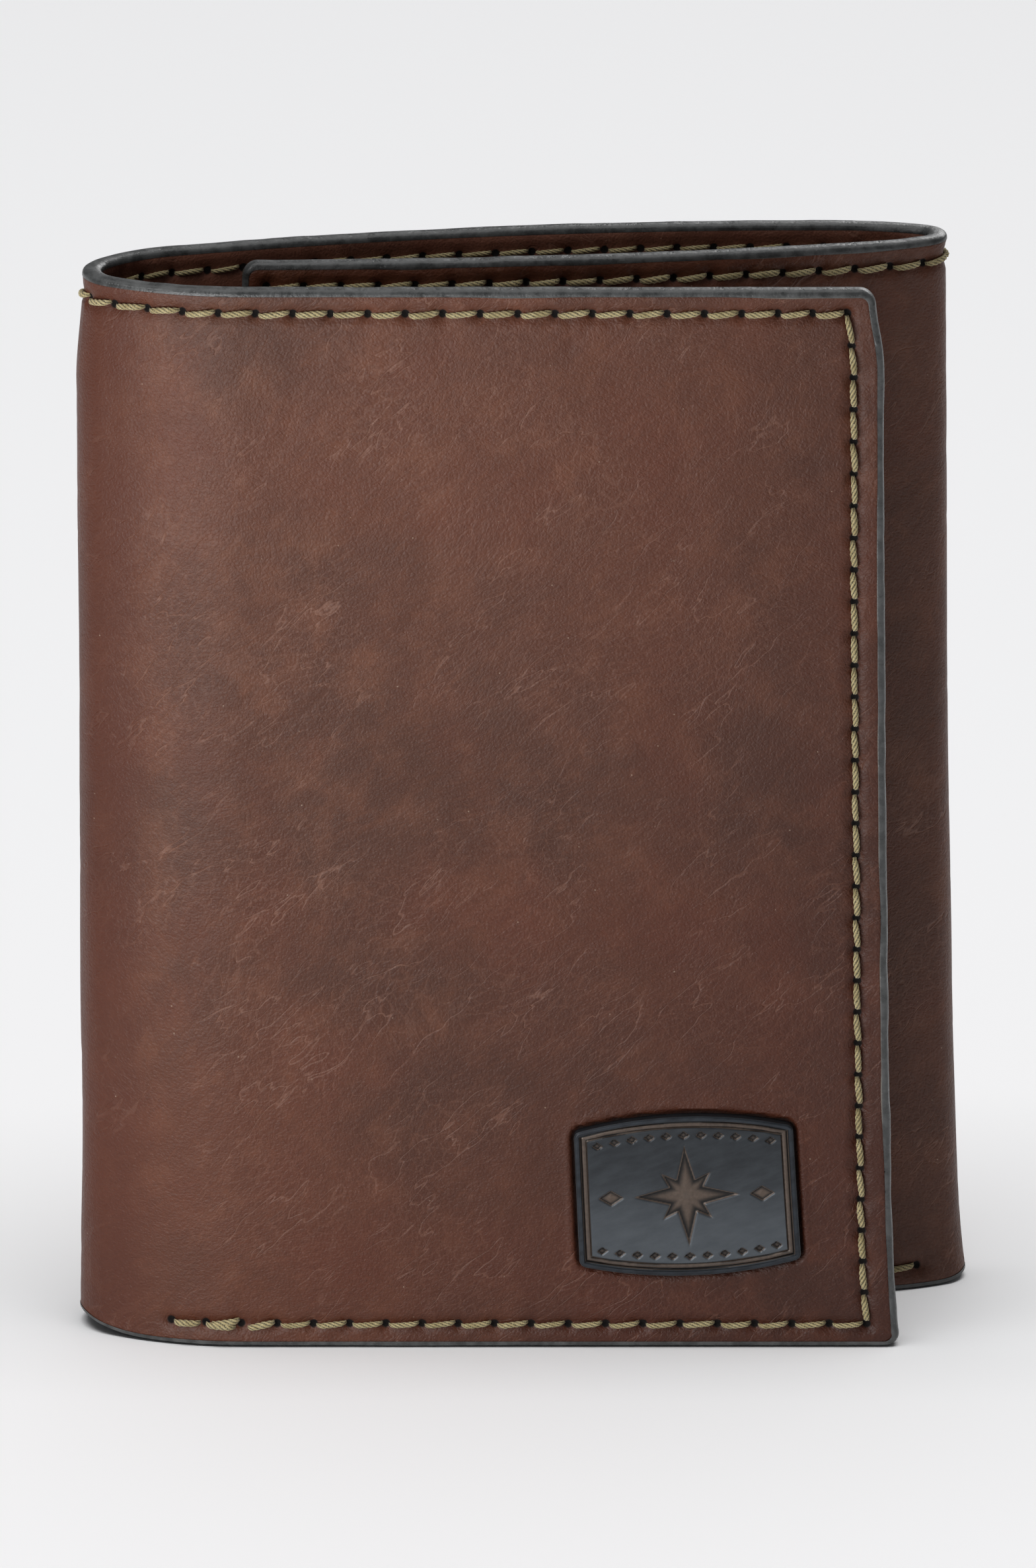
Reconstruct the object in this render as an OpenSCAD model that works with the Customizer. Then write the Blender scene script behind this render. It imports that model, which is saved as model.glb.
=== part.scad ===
// Trifold wallet: one leather strip folded in three, standing on its bottom edges.
// x runs to the right, y away from the front flap, z up. All sizes are in millimetres.
// The strip starts at the front flap's free edge, goes round the left fold, along the
// back, round the right fold and ends at the inner flap's free edge.

/* [Overall] */
// height of the wallet
wallet_h = 109.5; // [100:0.5:118]
// corner radius at the two free edges
corner_r = 1.5; // [1:0.5:5]
// flat width of the front flap, from its free edge to the left fold
front_w = 63.25; // [60:0.25:65.25]
// height left free above the pockets
pocket_drop = 5; // [4:0.5:12]

/* [Layers] */
// outer leather
leather_t = 1.1; // [0.8:0.1:1.1]
// lining
lining_t = 0.8; // [0.4:0.1:0.8]
// pocket backing panels
panel_t = 0.6; // [0.4:0.1:0.6]
// card pockets of the inner flap
inner_pocket_t = 0.5; // [0.3:0.05:0.5]
// card pockets of the centre
centre_pocket_t = 0.45; // [0.3:0.05:0.45]
// clear film of the window
film_t = 0.2; // [0.1:0.05:0.2]
// frame around the window
window_frame_t = 0.6; // [0.4:0.1:0.8]

/* [Folds] */
// radius of the left fold's nose
left_nose_r = 5.5; // [5.3:0.1:5.7]
// radius of the right fold's nose
right_nose_r = 3.3; // [3.2:0.1:3.5]
// radius of the back panel's bulge
back_r = 220; // [215:1:225]
// radius of the inner flap's bulge
inner_r = 310; // [305:1:315]

/* [Pockets] */
// step from one card mouth to the next
mouth_step = 9.5; // [6:0.5:12]
// space between a panel's end and its first card mouth
first_mouth = 5; // [3:0.5:8]
// width of the window's opening
window_w = 44; // [30:1:50]
// height of the window's opening
window_h = 76; // [60:1:86]

/* [Badge] */
// width of the metal badge
badge_w = 21.5; // [16:0.5:26]
// height of the metal badge
badge_h = 16.7; // [12:0.1:20]
// radius of its arched top and bottom
badge_arch_r = 43; // [30:1:80]
// rise above the leather
badge_rise = 0.8; // [0.5:0.1:1.2]
// depth of the pressed bed that it sits in
badge_bed = 0.4; // [0.2:0.1:0.6]
// turn to the left, in degrees
badge_turn = 2.2; // [0:0.1:5]
// distance from its middle to the front flap's free edge
badge_from_edge = 20; // [16:0.1:40]
// height of its middle
badge_z = 16.2; // [12:0.1:60]

/* [Stitching] */
// distance from one stitch to the next along the long rows
stitch_pitch = 3.75; // [3:0.05:5]
// distance from one stitch to the next along the free edges
edge_pitch = 3.25; // [3:0.05:5]
// share of the pitch that the visible stitch fills
stitch_share = 0.78; // [0.5:0.01:0.9]
// width of the thread
thread_w = 0.75; // [0.4:0.05:1]
// rise of the thread above the leather
thread_rise = 0.3; // [0.1:0.05:0.4]
// rise of the thread inside, where it is pulled into the pockets
inside_rise = 0.1; // [0.05:0.01:0.12]
// distance of the rows from the edges
stitch_inset = 2.4; // [1.8:0.1:3.5]
// distance of the front flap's upright row from its free edge
edge_inset = 3; // [1.8:0.1:3.5]

/* [Hidden] */
$fn = 96;
slit = 0.1;
// the linings stop this far above the leather's bottom edge
lining_z = 0.3;
stand_off = 0.01;
shell_t = leather_t + lining_t;
panel_top = wallet_h - pocket_drop;

// the strip's outer face as [radius, turn in degrees], or [0, length] where it is straight
segments = [
  [0, front_w],
  [28, 30],
  [left_nose_r, 40],
  [left_nose_r, 20],
  [left_nose_r, 40],
  [15, 33],
  [back_r, 18],
  [25, 19],
  [right_nose_r, 55],
  [right_nose_r, 20],
  [right_nose_r, 55],
  [20, 18],
  [inner_r, 11.8]
];
FRONT = 0;
LEFT_FRONT_BEND = [1, 2];
LEFT_SPINE = [3, 3];
LEFT_BACK_BEND = [4, 5];
BACK = 6;
RIGHT_BACK_BEND = [7, 8];
RIGHT_SPINE = [9, 9];
RIGHT_FRONT_BEND = [10, 11];
INNER = 12;

// distances of the layers from the outer face
panel_off = shell_t + 0.15;
film_off = panel_off + panel_t + 0.05;
window_off = film_off + film_t + 0.05;
inner_pocket_off = panel_off + panel_t + slit;
inner_pocket_pitch = inner_pocket_t + slit;
// the centre stack counts from the inner flap's outer face, which it faces
centre_pocket_off = inner_pocket_off + 2 * inner_pocket_t + slit + 0.35;
centre_pocket_pitch = centre_pocket_t + slit;
centre_panel_off = centre_pocket_off + 3 * centre_pocket_pitch;

function along(h) = [cos(h), sin(h)];
function inward(h) = [sin(h), -cos(h)];
function seg_len(i) = segments[i][0] == 0 ? segments[i][1]
  : segments[i][0] * segments[i][1] * PI / 180;
function advance(f, seg, part = 1) = seg[0] == 0
  ? [f[0] + seg[1] * part * along(f[1]), f[1]]
  : [f[0] + seg[0] * (inward(f[1]) - inward(f[1] - seg[1] * part)), f[1] - seg[1] * part];
function frame_of(i) = i == 0 ? [[front_w, 0], 180] : advance(frame_of(i - 1), segments[i - 1]);
function frame_in(i, part) = advance(frame_of(i), segments[i], part);

// outermost points of the closed strip, which centre it on the origin
nose_left = frame_of(4)[0][0];
nose_right = frame_in(9, 0.75)[0][0];
deepest = frame_in(BACK, 17 / 18)[0][1];
mid_x = (nose_left + nose_right) / 2;
mid_y = (deepest + thread_rise - badge_rise) / 2;
flap_end_x = frame_in(INNER, 1)[0][0];

badge_centre = [front_w - badge_from_edge, badge_z];

module placed() {
  translate([-mid_x, -mid_y, 0]) children();
}

// ---- bands of the strip ----

// plan of part of one segment, from share a to share b of its length
module sector(i, off, t, a = 0, b = 1) {
  f = frame_in(i, a);
  r = segments[i][0];
  size = segments[i][1] * (b - a);
  if (r == 0) {
    translate(f[0]) rotate(f[1]) translate([0, -off - t]) square([size, t]);
  } else {
    translate(f[0] + r * inward(f[1])) rotate(f[1] + 90) intersection() {
      difference() {
        circle(r = r - off, $fn = 180);
        circle(r = r - off - t, $fn = 180);
      }
      polygon([
        [0, 0],
        [2 * r, 0],
        2 * r * along(-size / 2),
        2 * r * along(-size)
      ]);
    }
  }
}

module band(i, off, t, z0, z1, a = 0, b = 1) {
  translate([0, 0, z0]) linear_extrude(z1 - z0) sector(i, off, t, a, b);
}

module bend(ends, off, t, z1, z0 = 0) {
  translate([0, 0, z0]) linear_extrude(z1 - z0)
    for (i = [ends[0] : ends[1]]) sector(i, off, t);
}

// a plate from x0 to x1 with both corners at x0 rounded, drawn in x and z
module one_side_rounded(x0, x1, z0, z1, r) {
  s = x1 > x0 ? 1 : -1;
  low = min(x0 + s * r, x1);
  translate([low, z0]) square([abs(x1 - x0) - r, z1 - z0]);
  translate([min(x0, x0 + s * r), z0 + r]) square([r, z1 - z0 - 2 * r]);
  for (z = [z0 + r, z1 - r]) translate([x0 + s * r, z]) circle(r = r);
}

// lifts a drawing in x and z to the depth y, t thick
module upright(y, t) {
  translate([0, y + t, 0]) rotate([90, 0, 0]) linear_extrude(t) children();
}

module front_plate(y, t, z1, z0 = 0) {
  upright(y, t) one_side_rounded(front_w, 0, z0, z1, corner_r);
}

module inner_band(off, t, z1, z0 = 0, from = 0) {
  intersection() {
    band(INNER, off, t, z0, z1, from, 1);
    upright(0, 3 * deepest)
      one_side_rounded(flap_end_x, flap_end_x + 120, z0, z1, corner_r);
  }
}

// ---- stitches ----

// one bar of thread along x, its flat side on y = 0 and its crown at y = rise
module thread_bar(length, rise) {
  translate([-length / 2, 0, 0])
    rotate([90, 0, 90])
      linear_extrude(length)
        polygon([
          [0, -thread_w / 2],
          [rise, -thread_w / 4],
          [rise, thread_w / 4],
          [0, thread_w / 2]
        ]);
}

// count stitches on segment i, starting at length s0, on the outer or the inner side
module row_on(i, s0, count, z, depth, outside, rise) {
  for (k = [0 : count - 1]) {
    f = frame_in(i, (s0 + (k + 0.5) * stitch_pitch) / seg_len(i));
    p = f[0] + depth * inward(f[1]);
    translate([p[0], p[1], z])
      rotate([0, 0, f[1] + (outside ? 0 : 180)])
        thread_bar(stitch_pitch * stitch_share, rise);
  }
}

// a column of stitches at one frame of the strip
module column_at(f, count, z0, depth, outside, rise) {
  p = f[0] + depth * inward(f[1]);
  for (k = [0 : count - 1])
    translate([p[0], p[1], z0 + (k + 0.5) * edge_pitch])
      rotate([0, 0, f[1] + (outside ? 0 : 180)])
        rotate([0, 90, 0])
          thread_bar(edge_pitch * stitch_share, rise);
}

module both_sides(i, s0, count, z) {
  row_on(i, s0, count, z, -stand_off, true, thread_rise);
  row_on(i, s0, count, z, shell_t + stand_off, false, inside_rise);
}

front_count = floor((front_w - 2 * edge_inset) / stitch_pitch);
back_count = floor((seg_len(BACK) - 1) / stitch_pitch);
inner_count = floor((seg_len(INNER) - 2 * stitch_inset) / stitch_pitch);
edge_count = floor((wallet_h - 2 * stitch_inset) / edge_pitch);
top_z = wallet_h - stitch_inset;
edge_z = (wallet_h - edge_count * edge_pitch) / 2;
inner_start = seg_len(INNER) - stitch_inset - inner_count * stitch_pitch;

// ---- front flap ----

module badge_outline(inset) {
  side = badge_w / 2 - inset;
  reach = badge_arch_r - inset;
  round_r = 1;
  half_h = badge_h / 2 - inset - 1.15;
  intersection() {
    union() {
      translate([-side, -half_h + round_r]) square([2 * side, 2 * (half_h - round_r)]);
      translate([-side + round_r, -half_h - 2])
        square([2 * (side - round_r), 2 * half_h + 4]);
      for (x = [-1, 1], z = [-1, 1])
        translate([x * (side - round_r), z * (half_h - round_r)]) circle(r = round_r);
    }
    translate([0, badge_h / 2 - badge_arch_r]) circle(r = reach, $fn = 180);
    translate([0, badge_arch_r - badge_h / 2]) circle(r = reach, $fn = 180);
  }
}

module on_badge(y, t) {
  upright(y, t) translate(badge_centre) rotate(badge_turn) children();
}

module front_cover() {
  color("saddlebrown") placed() difference() {
    front_plate(0, leather_t, wallet_h);
    on_badge(-1, 1 + badge_bed) badge_outline(-0.35);
  }
}

module front_lining() {
  color("peru") placed() front_plate(leather_t, lining_t, wallet_h, lining_z);
}

module front_panel() {
  color("saddlebrown") placed() front_plate(panel_off, panel_t, panel_top);
}

window_x = (front_w - window_w) / 2;
window_z = (panel_top - window_h) / 2;

module window_film() {
  color("lightblue") placed()
    translate([window_x - 4, film_off, window_z - 4])
      cube([window_w + 8, film_t, window_h + 8]);
}

module window_frame() {
  color("saddlebrown") placed() difference() {
    front_plate(window_off, window_frame_t, panel_top);
    upright(window_off - 1, window_frame_t + 2) {
      translate([window_x, window_z + 2]) square([window_w, window_h - 4]);
      translate([window_x + 2, window_z]) square([window_w - 4, window_h]);
      for (x = [2, window_w - 2], z = [2, window_h - 2])
        translate([window_x + x, window_z + z]) circle(r = 2);
    }
  }
}

// compass star with long and short points
module star(points, long_r, short_r, waist_r) {
  for (k = [0 : points - 1])
    rotate(k * 360 / points)
      polygon([
        [0, 0],
        [waist_r * sin(180 / points), waist_r * cos(180 / points)],
        [0, k % 2 == 0 ? long_r : short_r],
        [-waist_r * sin(180 / points), waist_r * cos(180 / points)]
      ]);
}

module badge_plate() {
  rim_w = 0.95;
  groove_w = 0.4;
  line_w = 0.35;
  field_y = -badge_rise + 0.45;
  color("dimgray") placed() {
    on_badge(field_y, badge_bed - field_y) badge_outline(0);
    on_badge(-badge_rise, 0.45 + stand_off) difference() {
      badge_outline(0);
      badge_outline(rim_w);
    }
    on_badge(field_y - 0.25, 0.25 + stand_off) {
      difference() {
        badge_outline(rim_w + groove_w);
        badge_outline(rim_w + groove_w + line_w);
      }
      star(8, 5, 2.9, 1.3);
      for (x = [-1, 1]) translate([x * 7.2, 0]) rotate(45) square(1.7, center = true);
    }
  }
}

module front_top_stitching() {
  color("darkkhaki") placed() both_sides(FRONT, edge_inset, front_count, top_z);
}

module front_bottom_stitching() {
  color("darkkhaki") placed() {
    row_on(FRONT, edge_inset, front_count, stitch_inset, -stand_off, true, thread_rise);
    row_on(FRONT, edge_inset, front_count, stitch_inset,
      window_off + window_frame_t + stand_off, false, inside_rise);
  }
}

module front_edge_stitching() {
  f = frame_in(FRONT, edge_inset / front_w);
  color("darkkhaki") placed() {
    column_at(f, edge_count, edge_z, -stand_off, true, thread_rise);
    column_at(f, edge_count - 2, edge_z, window_off + window_frame_t + stand_off, false,
      inside_rise);
  }
}

// ---- left fold ----

module fold_leather(ends) {
  color("saddlebrown") placed() bend(ends, 0, leather_t, wallet_h);
}

module fold_lining(ends) {
  color("peru") placed() bend(ends, leather_t, lining_t, wallet_h, lining_z);
}

module fold_gusset(ends) {
  color("sienna") placed() bend(ends, panel_off, panel_t, panel_top);
}

module left_front_leather() fold_leather(LEFT_FRONT_BEND);
module left_front_lining() fold_lining(LEFT_FRONT_BEND);
module left_front_gusset() fold_gusset(LEFT_FRONT_BEND);
module left_spine_leather() fold_leather(LEFT_SPINE);
module left_spine_lining() fold_lining(LEFT_SPINE);
module left_spine_gusset() fold_gusset(LEFT_SPINE);
module left_back_leather() fold_leather(LEFT_BACK_BEND);
module left_back_lining() fold_lining(LEFT_BACK_BEND);
module left_back_gusset() fold_gusset(LEFT_BACK_BEND);

module left_front_stitching() {
  color("darkkhaki") placed() {
    row_on(1, 0.5, 3, top_z, -stand_off, true, thread_rise);
    row_on(2, 0, 1, top_z, -stand_off, true, thread_rise);
  }
}

module left_back_stitching() {
  color("darkkhaki") placed() row_on(5, 0.6, 2, top_z, -stand_off, true, thread_rise);
}

// ---- centre ----

module back_cover() {
  color("saddlebrown") placed() band(BACK, 0, leather_t, 0, wallet_h);
}

module back_lining() {
  color("peru") placed() band(BACK, leather_t, lining_t, lining_z, wallet_h);
}

// share of the inner flap's length at which the centre stack begins and ends
centre_from = 0.07;
centre_to = 0.985;
centre_len = seg_len(INNER) * (centre_to - centre_from);

// the panel's middle faces the inner flap, and its ends close on the back, the left one
// a little past the inner flap's end
module centre_panel() {
  past_end = 1 + 1.1 / seg_len(INNER);
  right_start = frame_in(INNER, centre_from);
  join = right_start[0] + centre_panel_off * inward(right_start[1]);
  right_end = frame_in(BACK, 1);
  slope = right_end[0] + (panel_off + panel_t) * inward(right_end[1]) - join;
  color("sienna") placed() linear_extrude(panel_top) {
    sector(INNER, centre_panel_off, panel_t, centre_from, past_end);
    sector(BACK, panel_off, panel_t, 0, 0.09);
    translate(join) rotate(atan2(slope[1], slope[0])) square([norm(slope), panel_t]);
  }
}

// card pockets are numbered from the panel outwards, and all their mouths face left
module centre_pocket(n) {
  off = centre_pocket_off + (3 - n) * centre_pocket_pitch;
  mouth = (first_mouth + (n - 1) * mouth_step) / seg_len(INNER);
  color("saddlebrown") placed()
    band(INNER, off, centre_pocket_t, 0, panel_top, centre_from, centre_to - mouth);
}

module centre_pocket_1() centre_pocket(1);
module centre_pocket_2() centre_pocket(2);
module centre_pocket_3() centre_pocket(3);

module centre_pocket_stitching() {
  depth = centre_pocket_off - stand_off;
  side = frame_in(INNER, centre_from + stitch_inset / seg_len(INNER));
  count = floor((centre_len - first_mouth - 2 * mouth_step - 5) / stitch_pitch);
  start = centre_from * seg_len(INNER) + stitch_inset + 1;
  color("darkkhaki") placed() {
    row_on(INNER, start, count, panel_top - stitch_inset, depth, true, inside_rise);
    row_on(INNER, start, count, stitch_inset, depth, true, inside_rise);
    column_at(side, edge_count - 2, edge_z, depth, true, inside_rise);
  }
}

module back_top_stitching() {
  color("darkkhaki") placed() both_sides(BACK, 0.5, back_count, top_z);
}

module back_bottom_stitching() {
  color("darkkhaki") placed()
    row_on(BACK, 0.5, back_count, stitch_inset, -stand_off, true, thread_rise);
}

// ---- right fold ----

module right_back_leather() fold_leather(RIGHT_BACK_BEND);
module right_back_lining() fold_lining(RIGHT_BACK_BEND);
module right_back_gusset() fold_gusset(RIGHT_BACK_BEND);
module right_spine_leather() fold_leather(RIGHT_SPINE);
module right_spine_lining() fold_lining(RIGHT_SPINE);
module right_spine_gusset() fold_gusset(RIGHT_SPINE);
module right_front_leather() fold_leather(RIGHT_FRONT_BEND);
module right_front_lining() fold_lining(RIGHT_FRONT_BEND);
module right_front_gusset() fold_gusset(RIGHT_FRONT_BEND);

module right_back_stitching() {
  color("darkkhaki") placed() row_on(7, 0.3, 2, top_z, -stand_off, true, thread_rise);
}

module right_front_stitching() {
  color("darkkhaki") placed() row_on(11, 1, 1, top_z, -stand_off, true, thread_rise);
}

// ---- inner flap ----

module inner_cover() {
  color("saddlebrown") placed() inner_band(0, leather_t, wallet_h);
}

module inner_lining() {
  color("peru") placed() inner_band(leather_t, lining_t, wallet_h, lining_z);
}

module inner_panel() {
  color("sienna") placed() inner_band(panel_off, panel_t, panel_top);
}

// mouths face the right fold, so that they face left once the flap is open
module inner_pocket(n) {
  off = inner_pocket_off + (n - 1) * inner_pocket_pitch;
  mouth = (first_mouth + (n - 1) * mouth_step) / seg_len(INNER);
  color("saddlebrown") placed() inner_band(off, inner_pocket_t, panel_top, 0, mouth);
}

module inner_pocket_1() inner_pocket(1);
module inner_pocket_2() inner_pocket(2);

module inner_pocket_stitching() {
  depth = inner_pocket_off + 2 * inner_pocket_t + slit + stand_off;
  count = inner_count - ceil((first_mouth + mouth_step) / stitch_pitch);
  start = inner_start + (inner_count - count) * stitch_pitch;
  side = frame_in(INNER, 1 - stitch_inset / seg_len(INNER));
  color("darkkhaki") placed() {
    row_on(INNER, start, count, panel_top - stitch_inset, depth, false, inside_rise);
    row_on(INNER, start, count, stitch_inset, depth, false, inside_rise);
    column_at(side, edge_count - 2, edge_z, depth, false, inside_rise);
  }
}

module inner_top_stitching() {
  color("darkkhaki") placed() both_sides(INNER, inner_start, inner_count, top_z);
}

module inner_bottom_stitching() {
  color("darkkhaki") placed()
    row_on(INNER, inner_start, inner_count, stitch_inset, -stand_off, true, thread_rise);
}

module inner_edge_stitching() {
  side = frame_in(INNER, 1 - stitch_inset / seg_len(INNER));
  color("darkkhaki") placed()
    column_at(side, edge_count, edge_z, -stand_off, true, thread_rise);
}

front_cover();
front_lining();
front_panel();
window_film();
window_frame();
badge_plate();
front_top_stitching();
front_bottom_stitching();
front_edge_stitching();
left_front_leather();
left_front_lining();
left_front_gusset();
left_front_stitching();
left_spine_leather();
left_spine_lining();
left_spine_gusset();
left_back_leather();
left_back_lining();
left_back_gusset();
left_back_stitching();
back_cover();
back_lining();
centre_panel();
centre_pocket_1();
centre_pocket_2();
centre_pocket_3();
centre_pocket_stitching();
back_top_stitching();
back_bottom_stitching();
right_back_leather();
right_back_lining();
right_back_gusset();
right_back_stitching();
right_spine_leather();
right_spine_lining();
right_spine_gusset();
right_front_leather();
right_front_lining();
right_front_gusset();
right_front_stitching();
inner_cover();
inner_lining();
inner_panel();
inner_pocket_1();
inner_pocket_2();
inner_pocket_stitching();
inner_top_stitching();
inner_bottom_stitching();
inner_edge_stitching();
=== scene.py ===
"""Trifold wallet, closed and standing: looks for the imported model.

Every soft piece is drawn flat, on the unfolded strip, and then folded. A flat point has three
coordinates in millimetres: s runs along the strip from the front flap's free edge to the inner
flap's, z runs up, and depth counts from the strip's outer face inwards.
"""

import math

import bmesh
import bpy
import numpy as np
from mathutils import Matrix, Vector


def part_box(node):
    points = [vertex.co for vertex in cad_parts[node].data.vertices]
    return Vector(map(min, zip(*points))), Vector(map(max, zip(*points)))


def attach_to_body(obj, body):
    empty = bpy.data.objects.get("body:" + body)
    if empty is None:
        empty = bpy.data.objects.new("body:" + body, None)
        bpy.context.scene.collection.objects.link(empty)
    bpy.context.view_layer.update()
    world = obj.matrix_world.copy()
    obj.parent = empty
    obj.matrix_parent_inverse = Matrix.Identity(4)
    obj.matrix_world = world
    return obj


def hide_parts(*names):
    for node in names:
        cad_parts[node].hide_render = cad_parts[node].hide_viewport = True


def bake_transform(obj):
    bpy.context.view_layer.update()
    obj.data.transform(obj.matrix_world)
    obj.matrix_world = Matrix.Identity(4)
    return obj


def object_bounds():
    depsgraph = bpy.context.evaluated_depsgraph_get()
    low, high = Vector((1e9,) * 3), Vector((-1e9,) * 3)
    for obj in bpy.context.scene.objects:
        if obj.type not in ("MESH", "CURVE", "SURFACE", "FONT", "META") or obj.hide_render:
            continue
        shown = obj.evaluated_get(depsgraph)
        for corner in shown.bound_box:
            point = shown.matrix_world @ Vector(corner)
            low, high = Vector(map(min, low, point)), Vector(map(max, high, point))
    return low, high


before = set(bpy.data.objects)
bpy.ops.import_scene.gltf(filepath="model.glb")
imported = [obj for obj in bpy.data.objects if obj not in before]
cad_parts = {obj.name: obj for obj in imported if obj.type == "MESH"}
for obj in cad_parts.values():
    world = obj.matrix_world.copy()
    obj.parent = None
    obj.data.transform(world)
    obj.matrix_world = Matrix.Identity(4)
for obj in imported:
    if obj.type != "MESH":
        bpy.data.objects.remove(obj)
cad_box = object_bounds()

MM = 0.001

# ---- sizes, in millimetres ----

LEATHER_T = 1.1
SHELL_T = 1.9
PANEL_T = 0.6
PANEL_DEPTH = 2.05
CORNER_R = 1.5
POCKET_DROP = 5.0
STITCH_INSET = 2.4
FRONT_EDGE_INSET = 3.0
STITCH_PITCH = 3.75
EDGE_PITCH = 3.25
BOTTOM_PITCH = 3.6
STITCH_SHARE = 0.8
HOLE_R = 0.33
THREAD_R = 0.35
PLY_LAY = 2.3

front_low, front_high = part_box("front_cover")
TOP = (front_high[2] - front_low[2]) / MM
PANEL_TOP = TOP - POCKET_DROP
FRONT_EDGE = (front_high[0] / MM, front_low[1] / MM)

# the strip's outer face: part, radius (0 where straight), turn in degrees or length
SEGMENTS = [
    ("front", 0, (front_high[0] - front_low[0]) / MM),
    ("left_front", 28, 30),
    ("left_front", 5.5, 40),
    ("left_spine", 5.5, 20),
    ("left_back", 5.5, 40),
    ("left_back", 15, 33),
    ("back", 220, 18),
    ("right_back", 25, 19),
    ("right_back", 3.3, 55),
    ("right_spine", 3.3, 20),
    ("right_front", 3.3, 55),
    ("right_front", 20, 18),
    ("inner", 310, 11.8),
]
RIGID = {
    "front": "front_flap",
    "left_spine": "left_spine",
    "back": "back_panel",
    "right_spine": "right_spine",
    "inner": "inner_flap",
}
BENDS = {
    "left_front": ("front_flap", "left_spine"),
    "left_back": ("left_spine", "back_panel"),
    "right_back": ("back_panel", "right_spine"),
    "right_front": ("right_spine", "inner_flap"),
}
PARTS = list(dict.fromkeys(row[0] for row in SEGMENTS))
COVERS = {part: part + "_cover" for part in ("front", "back", "inner")}


def smoothstep(low, high, x):
    t = np.clip((x - low) / (high - low), 0, 1)
    return t * t * (3 - 2 * t)


def bell(x, width):
    """1 at zero, falling smoothly to nothing within a few widths."""
    return np.exp(-((x / width) ** 2))


def eased(size, count):
    """Steps from 0 to size, closest together at 0, as round an arc."""
    return size * (1 - np.cos(np.linspace(0, math.pi / 2, count)))


# ---- the fold: from the flat strip to the closed wallet ----


def direction(heading):
    return np.stack([np.cos(heading), np.sin(heading)], -1)


def inward(heading):
    return np.stack([np.sin(heading), -np.cos(heading)], -1)


def lay_out_strip():
    """Where each segment starts, how long it is, and which way it heads."""
    rows = []
    s, at, heading = 0.0, np.array(FRONT_EDGE), math.pi
    for part, radius, size in SEGMENTS:
        turn = math.radians(size) if radius else 0.0
        length = radius * turn if radius else size
        rows.append((part, s, length, radius, at, heading))
        if radius:
            at = at + radius * (inward(heading) - inward(heading - turn))
        else:
            at = at + length * direction(heading)
        s, heading = s + length, heading - turn
    return rows, s


STRIP, STRIP_LENGTH = lay_out_strip()


def span(part):
    rows = [row for row in STRIP if row[0] == part]
    return rows[0][1], rows[-1][1] + rows[-1][2]


FRONT_L = span("front")[1]
BACK_0, BACK_1 = span("back")
INNER_0, INNER_1 = span("inner")
NOSE_LEFT = sum(span("left_spine")) / 2
NOSE_RIGHT = sum(span("right_spine")) / 2


def plan(s):
    """Outer-face points and inward directions of the folded strip at lengths s."""
    s = np.asarray(s, float)
    starts = np.array([row[1] for row in STRIP])
    which = np.clip(np.searchsorted(starts, s, side="right") - 1, 0, len(STRIP) - 1)
    points = np.zeros(s.shape + (2,))
    normals = np.zeros(s.shape + (2,))
    for n, (_, start, _, radius, at, heading) in enumerate(STRIP):
        here = which == n
        along = s[here] - start
        if radius:
            h = heading - along / radius
            points[here] = at + radius * (inward(heading) - inward(h))
        else:
            h = np.full(along.shape, heading)
            points[here] = at + along[:, None] * direction(heading)
        normals[here] = inward(h)
    return points, normals


# how far the folds stand out from the CAD's upright lines, or are drawn in
RIGHT_FOOT_OUT = 1.9
RIGHT_TOE_OUT = 0.9
RIGHT_TOP_IN = 0.85
LEFT_FOOT_OUT = 0.38
LEFT_TOP_IN = 0.75
LEFT_FOOT_Z, LEFT_TOP_Z = (26, 4), (98, 109)
TOE_REACH = 9
# the front flap's top corner leans in
CORNER_LEAN, CORNER_FROM, CORNER_REACH = 0.9, 101, 14
# how far the feet of the folds rise: middle along the strip, rise, width
FOOT_LIFTS = ((NOSE_LEFT, 1.5, 5.0), (NOSE_RIGHT, 0.8, 2.6))
LIFT_REACH = 9.0


def flare(z):
    """How far the right fold stands out beyond its middle place: the foot is spread."""
    up = np.clip(z / TOP, 0, 1)
    toe = RIGHT_TOE_OUT * np.exp(-np.clip(z, 0, None) / TOE_REACH)
    return RIGHT_FOOT_OUT * (1 - up) ** 1.5 + toe - RIGHT_TOP_IN


def narrowing(z):
    """The same for the left fold, which its top seam draws in."""
    return LEFT_FOOT_OUT * smoothstep(*LEFT_FOOT_Z, z) - LEFT_TOP_IN * smoothstep(*LEFT_TOP_Z, z)


def fold(s, depth, z):
    """Flat coordinates in millimetres to places in the shared frame, in metres."""
    s, depth, z = np.broadcast_arrays(
        np.asarray(s, float), np.asarray(depth, float), np.asarray(z, float)
    )
    points, normals = plan(s)
    flat = points + normals * depth[..., None]
    to_right = np.clip(flat[..., 0] / (cad_box[1][0] / MM), -1, 1)
    lean = to_right * np.where(to_right > 0, flare(z), narrowing(z))
    corner = smoothstep(CORNER_FROM, TOP, z) * smoothstep(CORNER_REACH, 0, s)
    lean = lean - CORNER_LEAN * corner
    foot = np.clip(1 - z / LIFT_REACH, 0, 1) ** 2
    lift = sum(rise * foot * bell(s - middle, width) for middle, rise, width in FOOT_LIFTS)
    return np.stack([flat[..., 0] + lean, flat[..., 1], z + lift], -1) * MM


# ---- noise ----


def lattice(ix, iy, seed):
    """A repeatable random number from -1 to 1 for each cell."""
    n = (ix * 374761393 + iy * 668265263 + seed * 2147483647) & 0xFFFFFFFF
    n = ((n ^ (n >> 13)) * 1274126177) & 0xFFFFFFFF
    return ((n ^ (n >> 16)) & 0xFFFF) / 32767.5 - 1


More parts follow.
